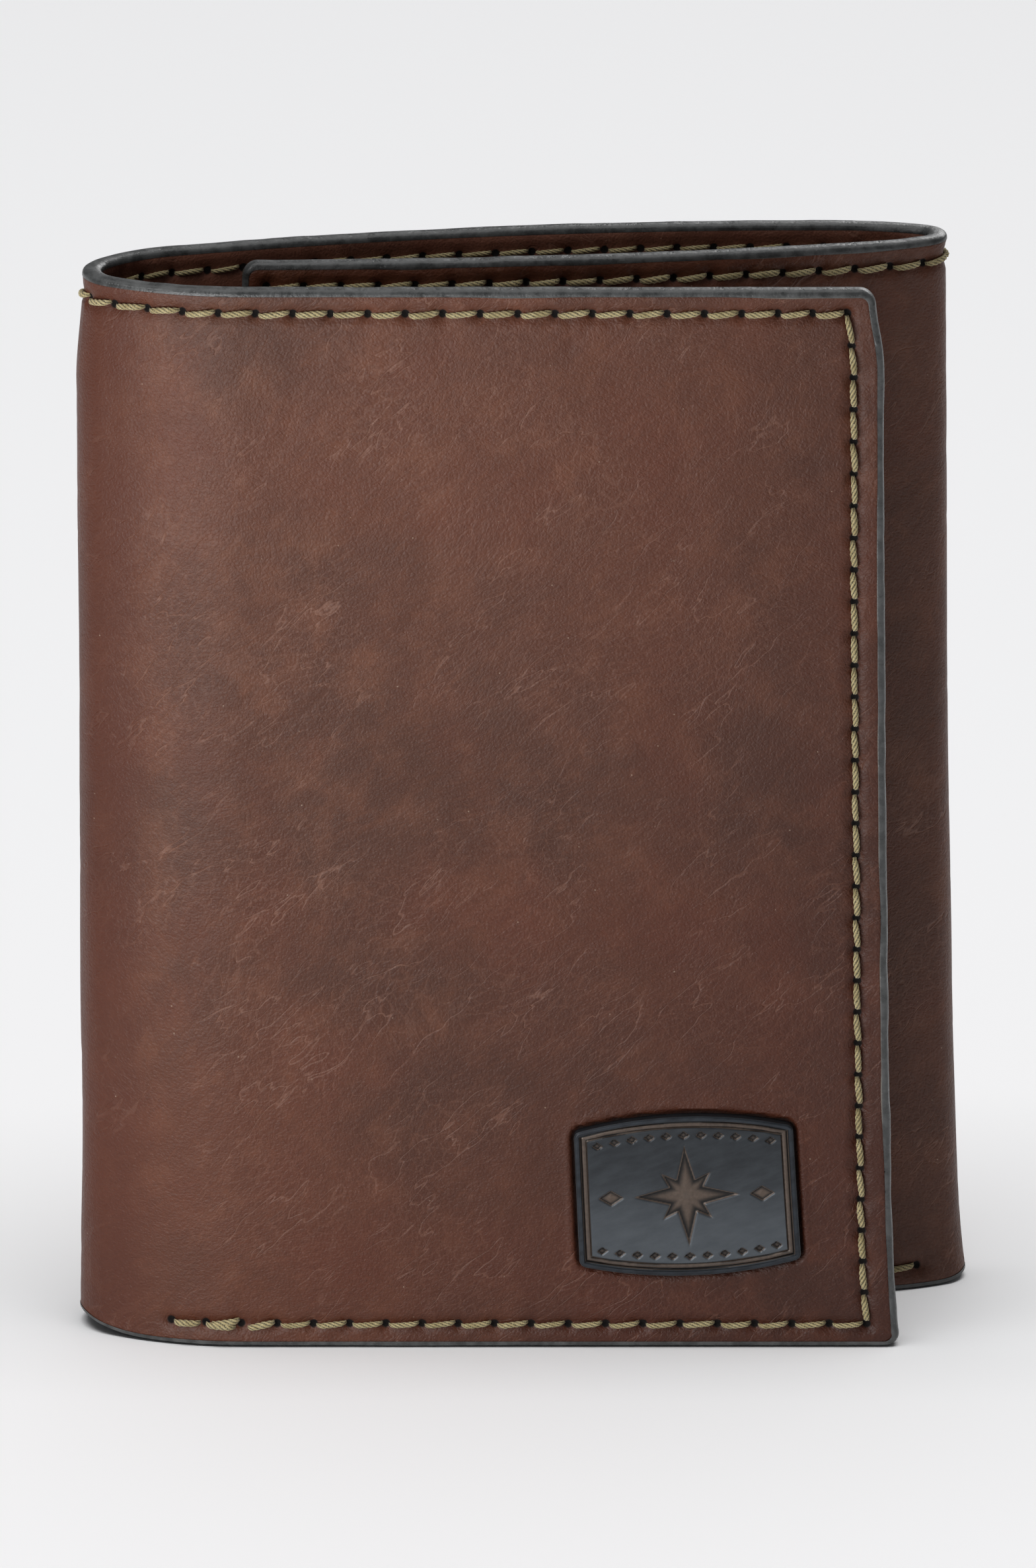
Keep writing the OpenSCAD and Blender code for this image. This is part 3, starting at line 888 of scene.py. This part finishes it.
def leather(name, light, middle, dark, red, seams, crease=1.0, edged=False):
    """Smooth pebbled leather with slanting creases, cloudy colour and a satin finish, with painted
    shade: a broad gradient, the needle holes and the gap round the badge.
    """
    n = Nodes(name)
    flat = n.attribute("flat", "Vector")
    swirl = n.bend_vector(n.bend_vector(flat, 0.03, 22.0), 0.8, 0.9)
    up_right = n.stretch(swirl, (1.8, 1, 0.8), (0, 40, 0))
    level = n.stretch(swirl, (1.5, 1, 0.9), (0, -12, 0))
    long_way = n.stretch(n.bend_vector(flat, 0.09, 4.0), (4.0, 1, 0.9), (0, 42, 0))
    net = n.cells(up_right, 0.95, "DISTANCE_TO_EDGE")
    net_small = n.cells(level, 2.1, "DISTANCE_TO_EDGE")
    grain = n.cells(n.bend_vector(flat, 3.0, 0.12), 4.2, "SMOOTH_F1")
    wrinkle = n.noise(up_right, 1.7, 4, 0.6, 0.8)
    streak = n.noise(n.stretch(swirl, (7, 1, 0.8), (0, 44, 0)), 1.6, 5, 0.65)
    cloud = n.noise(flat, 0.028, 3, 0.55)
    mottle = n.noise(n.bend_vector(flat, 0.2, 3.0), 0.22, 5, 0.6)
    fine = n.noise(flat, 3.2, 5, 0.65)
    where = n.ramp(n.noise(flat, 0.075, 3), 0.38, 0.62)
    wave = n.math("ABSOLUTE", n.math("SUBTRACT", n.noise(long_way, 0.26, 3, 0.5), 0.5))
    creases = n.math("MULTIPLY", n.ramp(wave, 0.0, 0.011, 1.0, 0.0), where)
    lines_big = n.math("MULTIPLY", n.ramp(net, 0.0, 0.10, 1.0, 0.0), where)
    lines_small = n.math("MULTIPLY", n.ramp(net_small, 0.0, 0.16, 1.0, 0.0), 0.6)
    colour = n.layer(
        dark,
        (n.ramp(cloud, 0.36, 0.62), middle),
        (n.ramp(mottle, 0.42, 0.78, 0.0, 0.45), light),
        (n.ramp(n.noise(flat, 0.06, 4), 0.48, 0.70, 0.0, 0.4), red),
        (n.ramp(streak, 0.50, 0.74, 0.0, 0.24), light),
        (n.ramp(streak, 0.50, 0.26, 0.0, 0.30), dark),
        (n.ramp(fine, 0.42, 0.70, 0.0, 0.34), dark),
        (n.math("MULTIPLY", lines_big, 0.14), WORN_BROWN),
        (n.math("MULTIPLY", lines_small, 0.14), light),
        (n.math("MULTIPLY", creases, 0.36), WORN_BROWN),
    )
    # painted shade: the leather darkens in a broad gradient towards the front flap's free foot
    shaded_colour = n.mix(1.0, colour, PAINTED_SHADE_TONE, "MULTIPLY")
    colour = n.mix(painted_shade_gradient(n, flat), colour, shaded_colour)
    colour = n.mix(fold_wear(n, flat), colour, n.mix(0.75, colour, RUBBED_BROWN))
    # painted shade: the needle holes and the gap round the badge are darkened
    bed_shade = n.math("MULTIPLY", n.attribute("bed"), 0.85)
    shade = n.math("MAXIMUM", n.holes(flat, seams), bed_shade)
    speck = n.ramp(n.cells(flat, 0.42), 0.0, 0.045, 0.5, 0.0)
    colour = n.layer(colour, (speck, PALE_SPECK), (shade, PAINTED_HOLE_SHADE))
    if edged:
        painted = n.ramp(n.attribute("from_edge"), 0.22, 0.34, 0.9, 0.0)
        colour = n.mix(painted, colour, EDGE_GREY)
    satin = n.ramp(fine, 0.3, 0.7, 0.42, 0.53)
    dull = n.math("MULTIPLY", shade, 0.95)
    n.set(Base_Color=colour, Roughness=n.math("MAXIMUM", satin, dull), Specular_IOR_Level=0.30)
    n.bump(
        (n.noise(up_right, 0.40, 4, 0.6), 0.32 * crease, 0.22),
        (wrinkle, 0.30 * crease, 0.11),
        (lines_big, 0.18 * crease, -0.05),
        (lines_small, 0.46 * crease, -0.045),
        (creases, 0.55 * crease, -0.08),
        (grain, 0.75, 0.06),
        (n.noise(flat, 9.0, 3), 0.40, 0.03),
    )
    return n.material


def paint_material():
    """Satin slate-grey edge paint with fine lighter specks and a painted highlight along its border.
    """
    n = Nodes("edge_paint")
    flat = n.attribute("flat", "Vector")
    uneven = n.noise(flat, 0.7, 4, 0.6)
    grit = n.noise(flat, 5.0, 3, 0.7)
    colour = n.layer(
        rgb(44, 45, 45),
        (n.ramp(uneven, 0.35, 0.65), rgb(68, 69, 69)),
        (n.ramp(grit, 0.62, 0.76, 0.0, 0.4), rgb(110, 110, 106)),
        # painted highlight: a light line where the paint's border meets the leather
        (n.ramp(n.attribute("out"), -0.80, -0.64, 0.6, 0.0), rgb(118, 110, 100)),
    )
    satin = n.ramp(uneven, 0.3, 0.7, 0.26, 0.42)
    n.set(Base_Color=colour, Roughness=satin, Specular_IOR_Level=0.5)
    n.bump((uneven, 0.6, 0.16), (n.noise(flat, 2.3, 3), 0.5, 0.08), (grit, 0.35, 0.04))
    return n.material


def thread_material():
    """Twisted khaki thread: painted shade darkens it between its plies, with fine fibres along them.
    """
    n = Nodes("thread")
    flat = n.attribute("flat", "Vector")
    fibre = n.noise(flat, 8.0, 3, 0.7)
    colour = n.layer(
        # painted shade: the dark base shows between the plies, where the lobe is low
        rgb(36, 30, 18),
        (n.ramp(n.attribute("lobe"), 0.20, 0.92), rgb(158, 143, 102)),
        (n.ramp(fibre, 0.42, 0.68, 0.0, 0.5), rgb(206, 196, 156)),
        (n.ramp(n.noise(flat, 0.5, 3), 0.45, 0.7, 0.0, 0.45), rgb(104, 90, 52)),
    )
    n.set(Base_Color=colour, Roughness=0.75, Sheen_Weight=0.15, Specular_IOR_Level=0.3)
    n.bump((fibre, 0.5, 0.05))
    return n.material


def badge_material():
    """Cast gunmetal: brown in the recesses, worn a little lighter where it stands up, with a painted
    sheen lighter towards its lower part.
    """
    n = Nodes("badge_metal")
    flat = n.attribute("flat", "Vector")
    raised = n.attribute("raised")
    cast = n.noise(flat, 2.2, 5, 0.65)
    rubbed = n.noise(n.stretch(flat, (3, 1, 1), (0, 20, 0)), 1.1, 4, 0.6)
    worn = n.math("MULTIPLY", n.ramp(raised, 0.62, 0.95), n.ramp(rubbed, 0.35, 0.65))
    _, up = n.along_and_up(flat)
    colour = n.layer(
        rgb(38, 41, 45),
        (n.ramp(rubbed, 0.30, 0.75), rgb(50, 54, 58)),
        # painted sheen: the plate is lighter towards its lower part
        (n.ramp(up, BADGE_Z + 4, BADGE_Z - 5), n.mix(rubbed, rgb(58, 63, 68), rgb(84, 89, 94))),
        (n.ramp(raised, 0.62, 0.80), rgb(30, 33, 38)),
        (worn, rgb(42, 47, 53)),
        (n.ramp(raised, 0.46, 0.20), n.mix(cast, rgb(58, 49, 43), rgb(104, 90, 80))),
        (n.ramp(raised, 0.16, 0.04), rgb(14, 14, 15)),
    )
    n.set(Base_Color=colour, Metallic=0.55, Roughness=n.ramp(cast, 0.3, 0.7, 0.36, 0.48))
    n.bump((rubbed, 0.12, 0.05), (n.noise(flat, 9.0, 2), 0.2, 0.02))
    return n.material


def film_material():
    """Clear flexible film with a faint haze."""
    n = Nodes("clear_film")
    spot = n.node("TexCoord", {}, "Object")
    haze = n.noise(spot, 60.0, 3)
    tone = n.mix(n.ramp(haze, 0.3, 0.7), rgb(228, 232, 232), rgb(246, 248, 248))
    n.set(Base_Color=tone, Roughness=n.ramp(haze, 0.3, 0.7, 0.08, 0.16), Alpha=0.16)
    n.bump((n.noise(spot, 35.0, 2), 0.2, 0.3))
    return n.material


outer_leather = leather(
    "outer_leather", rgb(112, 69, 48), rgb(86, 47, 31), rgb(70, 39, 26), rgb(90, 43, 26),
    list(SHELL_SEAMS.values()),
)
lining_leather = leather(
    "lining_leather", rgb(128, 84, 66), rgb(102, 63, 49), rgb(82, 51, 39), rgb(106, 58, 42),
    [SHELL_SEAMS["top"]], 0.8,
)
inner_leather = leather(
    "inner_leather", rgb(108, 70, 54), rgb(84, 50, 37), rgb(68, 41, 30), rgb(90, 46, 32),
    [], 0.8, edged=True,
)
paint_look = paint_material()
thread_look = thread_material()
badge_metal = badge_material()
clear_film = film_material()


# ---- the shell: leather, lining and edge paint ----

COVER_STEP = {"front": 0.42, "left_front": 0.42, "left_spine": 0.4, "left_back": 0.5}
BADGE_SIDES = (BADGE_S - BADGE_W / 2, BADGE_S + BADGE_W / 2)
FINE_PLACES = {"front": (FRONT_EDGE_INSET, *BADGE_SIDES), "inner": (INNER_EDGE,)}
UNDER_PAINT = 0.22

for part in PARTS:
    outline = part_outline(part, inset=UNDER_PAINT)
    cover = slab(
        part + "_outer_leather", outline, 0.0, LEATHER_T, outer_relief, outer_leather,
        COVER_STEP.get(part, 0.6), FINE_PLACES.get(part, ()), (BOTTOM_ROW, TOP_ROW),
    )
    attach(cover, part, "outer_leather", COVERS.get(part, part + "_leather"))
    lining = slab(
        part + "_lining_leather", outline, SHELL_T, LEATHER_T, inner_relief, lining_leather,
        1.0 if part in COVERS else 0.5, (), (TOP_ROW,),
    )
    attach(lining, part, "lining", part + "_lining")
    attach(edge_paint(part + "_edge_paint", part_outline(part)), part, "outer_leather")


# ---- stitching of the shell ----


ROW_SLANT = -0.11
COLUMN_SLANT = -0.07
INSIDE_SLANT = 0.09
# how full the thread looks where it is pulled down harder
ROW_THICK = {"front_bottom": 0.80, "front_edge": 0.90}


def back_tack(seam, k, middle, length):
    """The last stitches of the front's bottom row, sewn twice to hold the thread's end."""
    way = seam.way
    up = np.array([0.0, 1.0])
    if k == seam.count - 1:
        return [(middle + 0.1 * way - 0.05 * up, way, 0.92 * length, 0.0, 1, 0.95, -0.05)]
    if k == seam.count - 2:
        return [
            (middle - 0.25 * way + 0.20 * up, way, 0.95 * length, 0.0, 1, 0.98, -0.16),
            (middle + 0.25 * way - 0.22 * up, way, 1.0 * length, -0.05, 1, 1.0, 0.06),
        ]
    return [(middle - 0.2 * way - 0.12 * up, way, 0.88 * length, 0.0, 1, 1.0, -0.26)]


def shell_stitches():
    """Every stitch of the shell's rows, sorted by row group and part."""
    groups = {}
    for row, seam in SHELL_SEAMS.items():
        slant = COLUMN_SLANT if row.endswith("edge") else ROW_SLANT
        for k, middle in enumerate(seam.middles()):
            length = seam.pitch * STITCH_SHARE + 0.15
            part = part_of(middle[0], seam.pitch / 2 if row == "top" else 0.0)
            stitches = [(middle, seam.way, length, 0.0, 1, ROW_THICK.get(row, 0.88), slant)]
            if row == "front_bottom" and k >= seam.count - 3:
                stitches = back_tack(seam, k, middle, length)
            groups.setdefault((row, part), []).extend(stitches)
            if row == "top":
                inside = (middle, seam.way, length, SHELL_T, -1, 0.75, INSIDE_SLANT)
                groups.setdefault(("inside_top", part), []).append(inside)
    return groups


def stitch_node(row, part):
    """The CAD node that a group of stitches stands for, where there is one."""
    if row == "top" and part in BENDS:
        return [part + "_stitching"]
    if row == "top" and part in COVERS:
        return [part + "_top_stitching"]
    return [row + "_stitching"] if row.startswith(part) else []


for (row, part), stitches in shell_stitches().items():
    attach(thread(f"{row}_thread_{part}", stitches), part, "thread", *stitch_node(row, part))


# ---- badge ----


FIELD = 0.20
RIM_RISE = 0.20
SUNK = 0.20
# the border's sunken lines: how far in each starts and ends, and its depth
BORDER_LINES = (
    (0.48, 0.58, 0.70, 0.78, 0.20),
    (0.72, 0.78, 0.98, 1.04, 0.10),
    (1.00, 1.06, 1.18, 1.28, 0.18),
)
LONG_POINT, SHORT_POINT = (5.5, 1.45), (3.6, 1.25)
SIDE_LOZENGE = (1.30, 0.85, 0.10)
ROW_LOZENGE = (0.58, 0.42, 0.05)


def star_share(x, y):
    """An eight-pointed compass star: 1 on the ridges of its points, 0 outside it."""
    angle, radius = np.arctan2(x, y), np.hypot(x, y)
    best = np.full(np.shape(x), -1.0)
    for k in range(8):
        reach, width = SHORT_POINT if k % 2 else LONG_POINT
        a = angle - k * math.pi / 4
        along, across = radius * np.cos(a), np.abs(radius * np.sin(a))
        room = width * (1 - along / reach)
        best = np.maximum(best, np.where(along > -0.3, (room - across) / width, -1))
    return best


def badge_surface(x, y):
    """Height over the plate's lowest place: rim, double groove, field and sunken figures."""
    d = inside_badge(x, y)
    height = FIELD + RIM_RISE * (1 - smoothstep(0.46, 0.58, d))
    height -= 0.14 * (1 - smoothstep(0.0, 0.22, d)) ** 2
    for low, deep_from, deep_to, high, deep in BORDER_LINES:
        height -= deep * smoothstep(low, deep_from, d) * (1 - smoothstep(deep_to, high, d))
    lozenges = [(side * 7.4, 0, *SIDE_LOZENGE) for side in (-1, 1)]
    for side in (-1, 1):
        for at_x in 1.7 * np.arange(-5, 6):
            lozenges.append((at_x, side * (badge_half_height(at_x) - 2.0), *ROW_LOZENGE))
    figures = [(star_share(x, y), 0.10)]
    for at_x, at_y, half_w, half_h, crown in lozenges:
        figures.append((1 - np.abs(x - at_x) / half_w - np.abs(y - at_y) / half_h, crown))
    for share, crown in figures:
        height -= SUNK * smoothstep(-0.02, 0.16, share) - crown * np.clip(share, 0, 1)
    return height


def make_badge():
    """The plate as one closed relief: its lines follow the arched outline and round corners."""
    straight = BADGE_W / 2 - BADGE_CORNER
    arc = eased(BADGE_CORNER, 9)
    inner = np.arange(-straight, straight, 0.12)
    xs = np.concatenate([-BADGE_W / 2 + arc[:-1], inner, BADGE_W / 2 - arc[::-1]])
    side = np.clip(np.abs(xs) - straight, 0, BADGE_CORNER)
    half = badge_half_height(xs) - BADGE_CORNER + np.sqrt(np.maximum(0, BADGE_CORNER**2 - side**2))
    edge = eased(0.04, 6)
    vs = np.unique(np.concatenate([-1 + edge, np.linspace(-0.96, 0.96, 138), 1 - edge]))
    v, x = np.meshgrid(vs, xs)
    y = v * half[:, None]
    height = badge_surface(x, y)
    faces, grid, border = plate_faces(*x.shape)
    size = len(border)
    faces.append([grid.size + k for k in reversed(range(size))])
    depth = FIELD + RIM_RISE - BADGE_RISE - height
    depth = np.concatenate([depth.ravel(), np.full(size, BED_DEPTH)])
    bx, by = (np.concatenate([v.ravel(), v.ravel()[border]]) for v in (x, y))
    aside, up = rotated(bx, by, -BADGE_TURN)
    share = np.clip(height.ravel() / (FIELD + RIM_RISE), 0, 1)
    masks = {"raised": np.concatenate([share, np.full(size, 0.7)])}
    flat = np.stack([BADGE_S - aside, depth, BADGE_Z + up], -1)
    return new_piece("badge", flat, faces, masks, badge_metal)


attach(make_badge(), "front", "badge_metal", "badge_plate")


# ---- panels, gussets and pockets inside ----

PANEL_NODES = {"front": "front_panel", "inner": "inner_panel"}

for part in PARTS:
    if part != "back":
        panel = slab(
            part + "_inside_panel", part_outline(part, PANEL_TOP), PANEL_DEPTH + PANEL_T,
            PANEL_DEPTH, pocket_relief, inner_leather, 1.0, rounding=0.2,
        )
        attach(panel, part, "inner_leather", PANEL_NODES.get(part, part + "_gusset"))

CENTRE_FROM, CENTRE_TO = 0.07, 0.985
CENTRE_POCKET_T = 0.45
INNER_POCKET_T = 0.5
FIRST_MOUTH, MOUTH_STEP, ROW_GAP = 5.0, 9.5, 1.5
SLIT = 0.1
# the centre panel's grain is taken from beyond the strip, so that it repeats no other piece's
PAST_STRIP = 300
INNER_POCKET_DEPTH = PANEL_DEPTH + PANEL_T + SLIT
CENTRE_POCKET_DEPTH = INNER_POCKET_DEPTH + 2 * INNER_POCKET_T + SLIT + 0.35
CENTRE_PANEL_DEPTH = CENTRE_POCKET_DEPTH + 3 * (CENTRE_POCKET_T + SLIT)
INNER_LEN = INNER_1 - INNER_0
THIN_ROUND = 0.16


def on_inner(share):
    return INNER_0 + share * INNER_LEN


def pocket(group, n, part, outline, face, back):
    piece = slab(
        f"{group}_leather_{n}", outline, face, back, pocket_relief, inner_leather, 1.0,
        rounding=THIN_ROUND,
    )
    attach(piece, part, "inner_leather", f"{group}_{n}")


def card_pockets():
    """Two on the inner flap and three on the centre, each mouth a step behind the last."""
    for n in (1, 2):
        back = INNER_POCKET_DEPTH + (n - 1) * (INNER_POCKET_T + SLIT)
        low = INNER_0 + FIRST_MOUTH + (n - 1) * MOUTH_STEP
        outline = Outline(low, INNER_1, 0, PANEL_TOP, 1)
        pocket("inner_pocket", n, "inner", outline, back + INNER_POCKET_T, back)
    for n in (1, 2, 3):
        face = CENTRE_POCKET_DEPTH + (3 - n) * (CENTRE_POCKET_T + SLIT)
        high = on_inner(CENTRE_TO) - FIRST_MOUTH - (n - 1) * MOUTH_STEP
        outline = Outline(on_inner(CENTRE_FROM), high, 0, PANEL_TOP)
        pocket("centre_pocket", n, "back", outline, face, face + CENTRE_POCKET_T)


def centre_panel_path():
    """The panel's line seen from above: it faces the inner flap, and closes on the back."""
    middle = PANEL_T / 2
    foot_s = np.linspace(BACK_0 + 0.09 * (BACK_1 - BACK_0), BACK_0, 8)
    facing_s = np.linspace(on_inner(CENTRE_FROM), INNER_1, 60)
    runs = [
        fold([BACK_1], PANEL_DEPTH + middle, 0),
        fold(facing_s, CENTRE_PANEL_DEPTH + middle, 0),
        fold(foot_s, PANEL_DEPTH + middle, 0),
    ]
    return np.concatenate(runs)[:, :2] / MM


def centre_panel():
    """One sheet along its path, with softly rounded folds where it closes."""
    path = centre_panel_path()
    for _ in range(2):
        halves = [0.75 * path[:-1] + 0.25 * path[1:], 0.25 * path[:-1] + 0.75 * path[1:]]
        path = np.concatenate([path[:1], np.stack(halves, 1).reshape(-1, 2), path[-1:]])
    way = np.gradient(path, axis=0)
    side = np.stack([-way[:, 1], way[:, 0]], -1) / np.linalg.norm(way, axis=1)[:, None]
    length = np.concatenate([[0], np.cumsum(np.linalg.norm(np.diff(path, axis=0), axis=1))])
    curl = eased(THIN_ROUND, 4)
    heights = np.concatenate([curl, lines(2, PANEL_TOP - 2, 2.5), PANEL_TOP - curl[::-1]])
    inner = np.clip(THIN_ROUND - np.minimum(heights, PANEL_TOP - heights), 0, None)
    half = PANEL_T / 2 - THIN_ROUND + np.sqrt(np.clip(THIN_ROUND**2 - inner**2, 0, None))
    loop_z = np.concatenate([heights, heights[::-1]])
    loop_out = np.concatenate([half, -half[::-1]])
    size, count = len(loop_z), len(path)
    points, flat = [], []
    for at, out, run in zip(path, side, length):
        points.append(np.column_stack([at + loop_out[:, None] * out, loop_z]) * MM)
        flat.append(np.column_stack([np.full(size, run + PAST_STRIP), loop_out, loop_z]))
    edge = np.minimum(loop_z, PANEL_TOP - loop_z)
    none = np.zeros(count * size)
    masks = {"from_edge": np.tile(edge, count), "hole": none, "bed": none}
    flat, points = np.concatenate(flat), np.concatenate(points)
    name = "centre_panel_leather"
    piece = new_piece(name, flat, tube(count, size), masks, inner_leather, points)
    attach(piece, "back", "inner_leather", "centre_panel")


WINDOW_FRAME_T = 0.6
WINDOW_DEPTH = 2.95
WINDOW_W, WINDOW_H, WINDOW_R = 44.0, 76.0, 2.0
PER_CORNER, PER_SIDE = 8, 24


def rounded_loop(low, high, bottom, top, r_low, r_high):
    """Points round a rectangle, its corners r_low at its low end and r_high at its high end."""
    arcs = [
        [
            (s + r * math.cos(a), z + r * math.sin(a))
            for a in np.radians(np.linspace(start, start + 90, PER_CORNER))
        ]
        for s, z, r, start in (
            (high - r_high, top - r_high, r_high, 0),
            (low + r_low, top - r_low, r_low, 90),
            (low + r_low, bottom + r_low, r_low, 180),
            (high - r_high, bottom + r_high, r_high, 270),
        )
    ]
    loop = []
    for k, arc in enumerate(arcs):
        a, b = np.array(arc[-1]), np.array(arcs[(k + 1) % 4][0])
        loop += arc + [tuple(a + (b - a) * j / PER_SIDE) for j in range(1, PER_SIDE)]
    return np.array(loop)


def window_frame():
    """The frame of the card window: a flat ring with rounded edges."""
    low, high = span("front")
    middle_s, middle_z = (low + high) / 2, PANEL_TOP / 2
    outer = rounded_loop(low, high, 0, PANEL_TOP, CORNER_R, 0.3)
    inner = rounded_loop(
        middle_s - WINDOW_W / 2, middle_s + WINDOW_W / 2, middle_z - WINDOW_H / 2,
        middle_z + WINDOW_H / 2, WINDOW_R, WINDOW_R,
    )
    width = np.linalg.norm(inner - outer, axis=1)
    near, far = WINDOW_DEPTH + WINDOW_FRAME_T, WINDOW_DEPTH
    r = THIN_ROUND
    bend = np.linspace(math.pi / 2, 0, 4)
    seen = [(r * (1 - math.sin(a)), near - r * (1 - math.cos(a))) for a in bend]
    seen += [(inset, near) for inset in (0.9, 1.8, 4.5)]
    hidden = [(0.0, far + r), (r, far), (4.0, far)]
    ring = [(*row, 1) for row in seen] + [(*row, -1) for row in seen[-2::-1]]
    ring += [(*row, -1) for row in hidden] + [(*row, 1) for row in reversed(hidden)]
    flat, edges = [], []
    count = len(outer)
    for inset, depth, side in ring:
        share = np.minimum(inset / width, 0.48)
        spot = outer + (inner - outer) * (share if side > 0 else 1 - share)[:, None]
        flat.append(np.column_stack([spot[:, 0], np.full(count, depth), spot[:, 1]]))
        edges.append(np.full(count, inset))
    flat, none = np.concatenate(flat), np.zeros(count * len(ring))
    masks = {"from_edge": np.concatenate(edges), "hole": none, "bed": none}
    faces = tube(len(ring), count, closed=True)
    piece = new_piece("window_frame_leather", flat, faces, masks, inner_leather)
    attach(piece, "front", "inner_leather", "window_frame")


def window_film():
    film_low, film_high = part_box("window_film")
    reach = (film_high[0] - film_low[0]) / 2 / MM
    middle = sum(span("front")) / 2
    outline = Outline(middle - reach, middle + reach, film_low[2] / MM, film_high[2] / MM)
    near, far = ((y - front_low[1]) / MM for y in (film_high[1], film_low[1]))
    name = "clear_window_film"
    piece = slab(name, outline, near, far, film_relief, clear_film, 1.5, rounding=0.05)
    attach(piece, "front", "clear_film", "window_film")


def pocket_seams():
    """The rows that hold the card pockets, sunk into their leather."""
    top, bottom = PANEL_TOP - STITCH_INSET, STITCH_INSET
    far = INNER_POCKET_DEPTH + 2 * INNER_POCKET_T + SLIT
    centre_s = on_inner(CENTRE_FROM) + STITCH_INSET
    centre_end = on_inner(CENTRE_TO) - FIRST_MOUTH - 2 * MOUTH_STEP - ROW_GAP
    inner_from = INNER_0 + FIRST_MOUTH + MOUTH_STEP + ROW_GAP
    groups = (
        ("centre", "back", CENTRE_POCKET_DEPTH, 1, centre_s, centre_end, centre_s),
        ("inner", "inner", far, -1, inner_from, INNER_EDGE, INNER_EDGE),
    )
    for name, part, depth, side, low, high, column in groups:
        rows = [seam_between((low, z), (high, z), STITCH_PITCH) for z in (top, bottom)]
        rows.append(seam_between((column, bottom), (column, top), EDGE_PITCH))
        stitches = [
            (middle, seam.way, seam.pitch * STITCH_SHARE, depth + 0.14 * side, side, 0.6, 0.05)
            for seam in rows
            for middle in seam.middles()
        ]
        piece = thread(name + "_pocket_thread", stitches)
        attach(piece, part, "thread", name + "_pocket_stitching")


card_pockets()
centre_panel()
window_frame()
window_film()
pocket_seams()


# ---- floor, light and camera ----


def pale_floor():
    mesh = bpy.data.meshes.new("floor")
    half = 4.0
    corners = [(-half, -half, 0), (half, -half, 0), (half, half, 0), (-half, half, 0)]
    mesh.from_pydata(corners, [], [[0, 1, 2, 3]])
    n = Nodes("pale_floor")
    cloud = n.noise(n.node("TexCoord", {}, "Object"), 1.2, 2)
    tone = n.mix(cloud, rgb(247, 247, 248), rgb(250, 250, 251))
    n.set(Base_Color=tone, Roughness=0.7, Specular_IOR_Level=0.2)
    mesh.materials.append(n.material)
    floor = bpy.data.objects.new("floor", mesh)
    bpy.context.scene.collection.objects.link(floor)
    return floor


def look_along(aim):
    """Rotation that points an object's -Z along aim, with its top up."""
    x, y, z = aim
    return (math.atan2(math.hypot(x, y), -z), 0, math.atan2(-x, y))


def soft_light(floor, name, place, target, size, power, on_floor):
    """An area light, kept off the floor, or on nothing but the floor, where on_floor says so."""
    data = bpy.data.lights.new(name, "AREA")
    data.shape = "RECTANGLE"
    data.size, data.size_y = size
    data.energy = power
    light = bpy.data.objects.new(name, data)
    light.location = place
    light.rotation_euler = look_along(np.array(target) - np.array(place))
    light.visible_camera = False
    bpy.context.scene.collection.objects.link(light)
    if on_floor:
        lit = bpy.data.collections.new(name + "_floor")
        lit.objects.link(floor)
        light.light_linking.receiver_collection = lit
        lit.collection_objects[0].light_linking.link_state = on_floor


# name, place, target, size, power, and whether the floor is left out or is all that it lights
LIGHTS = (
    ("top", (-0.2, 0.25, 1.9), (0, 0, 0), (2.2, 2.0), 14, None),
    ("over", (-0.2, 0.25, 1.9), (0, 0, 0), (2.2, 2.0), 25, "EXCLUDE"),
    ("key", (-0.30, -0.24, 0.38), (-0.02, 0, 0.06), (0.16, 0.16), 0.48, "EXCLUDE"),
    ("low", (-0.11, -0.20, 0.075), (-0.01, 0, 0.06), (0.14, 0.12), 0.36, "EXCLUDE"),
    ("ground", (0, -0.35, 2.4), (0, 0.2, 0), (2.4, 1.4), 42, "INCLUDE"),
    ("behind", (0.30, 0.75, 0.45), (0, 0, 0.05), (0.5, 0.4), 2.2, "EXCLUDE"),
)


def studio(floor):
    world = bpy.data.worlds.new("studio")
    world.use_nodes = True
    sky = world.node_tree.nodes["Background"]
    sky.inputs["Color"].default_value = (0.97, 0.98, 1, 1)
    sky.inputs["Strength"].default_value = 0.12
    bpy.context.scene.world = world
    for light in LIGHTS:
        soft_light(floor, *light)
    bpy.context.scene.view_settings.view_transform = "Standard"


ELEVATION = 17.6
DISTANCE = 1.5
VIEW_HEIGHT = 156.1 * MM
SENSOR = 36.0
AIM = (0.1 * MM, 0.0, 54.9 * MM)


def camera():
    data = bpy.data.cameras.new("camera")
    data.sensor_width = SENSOR
    data.lens = SENSOR * DISTANCE / VIEW_HEIGHT
    data.clip_start, data.clip_end = 0.05, 20
    view = bpy.data.objects.new("camera", data)
    up = math.radians(ELEVATION)
    away = np.array([0.0, -math.cos(up), math.sin(up)])
    view.location = np.array(AIM) + DISTANCE * away
    view.rotation_euler = look_along(-away)
    bpy.context.scene.collection.objects.link(view)
    bpy.context.scene.camera = view


studio(pale_floor())
camera()
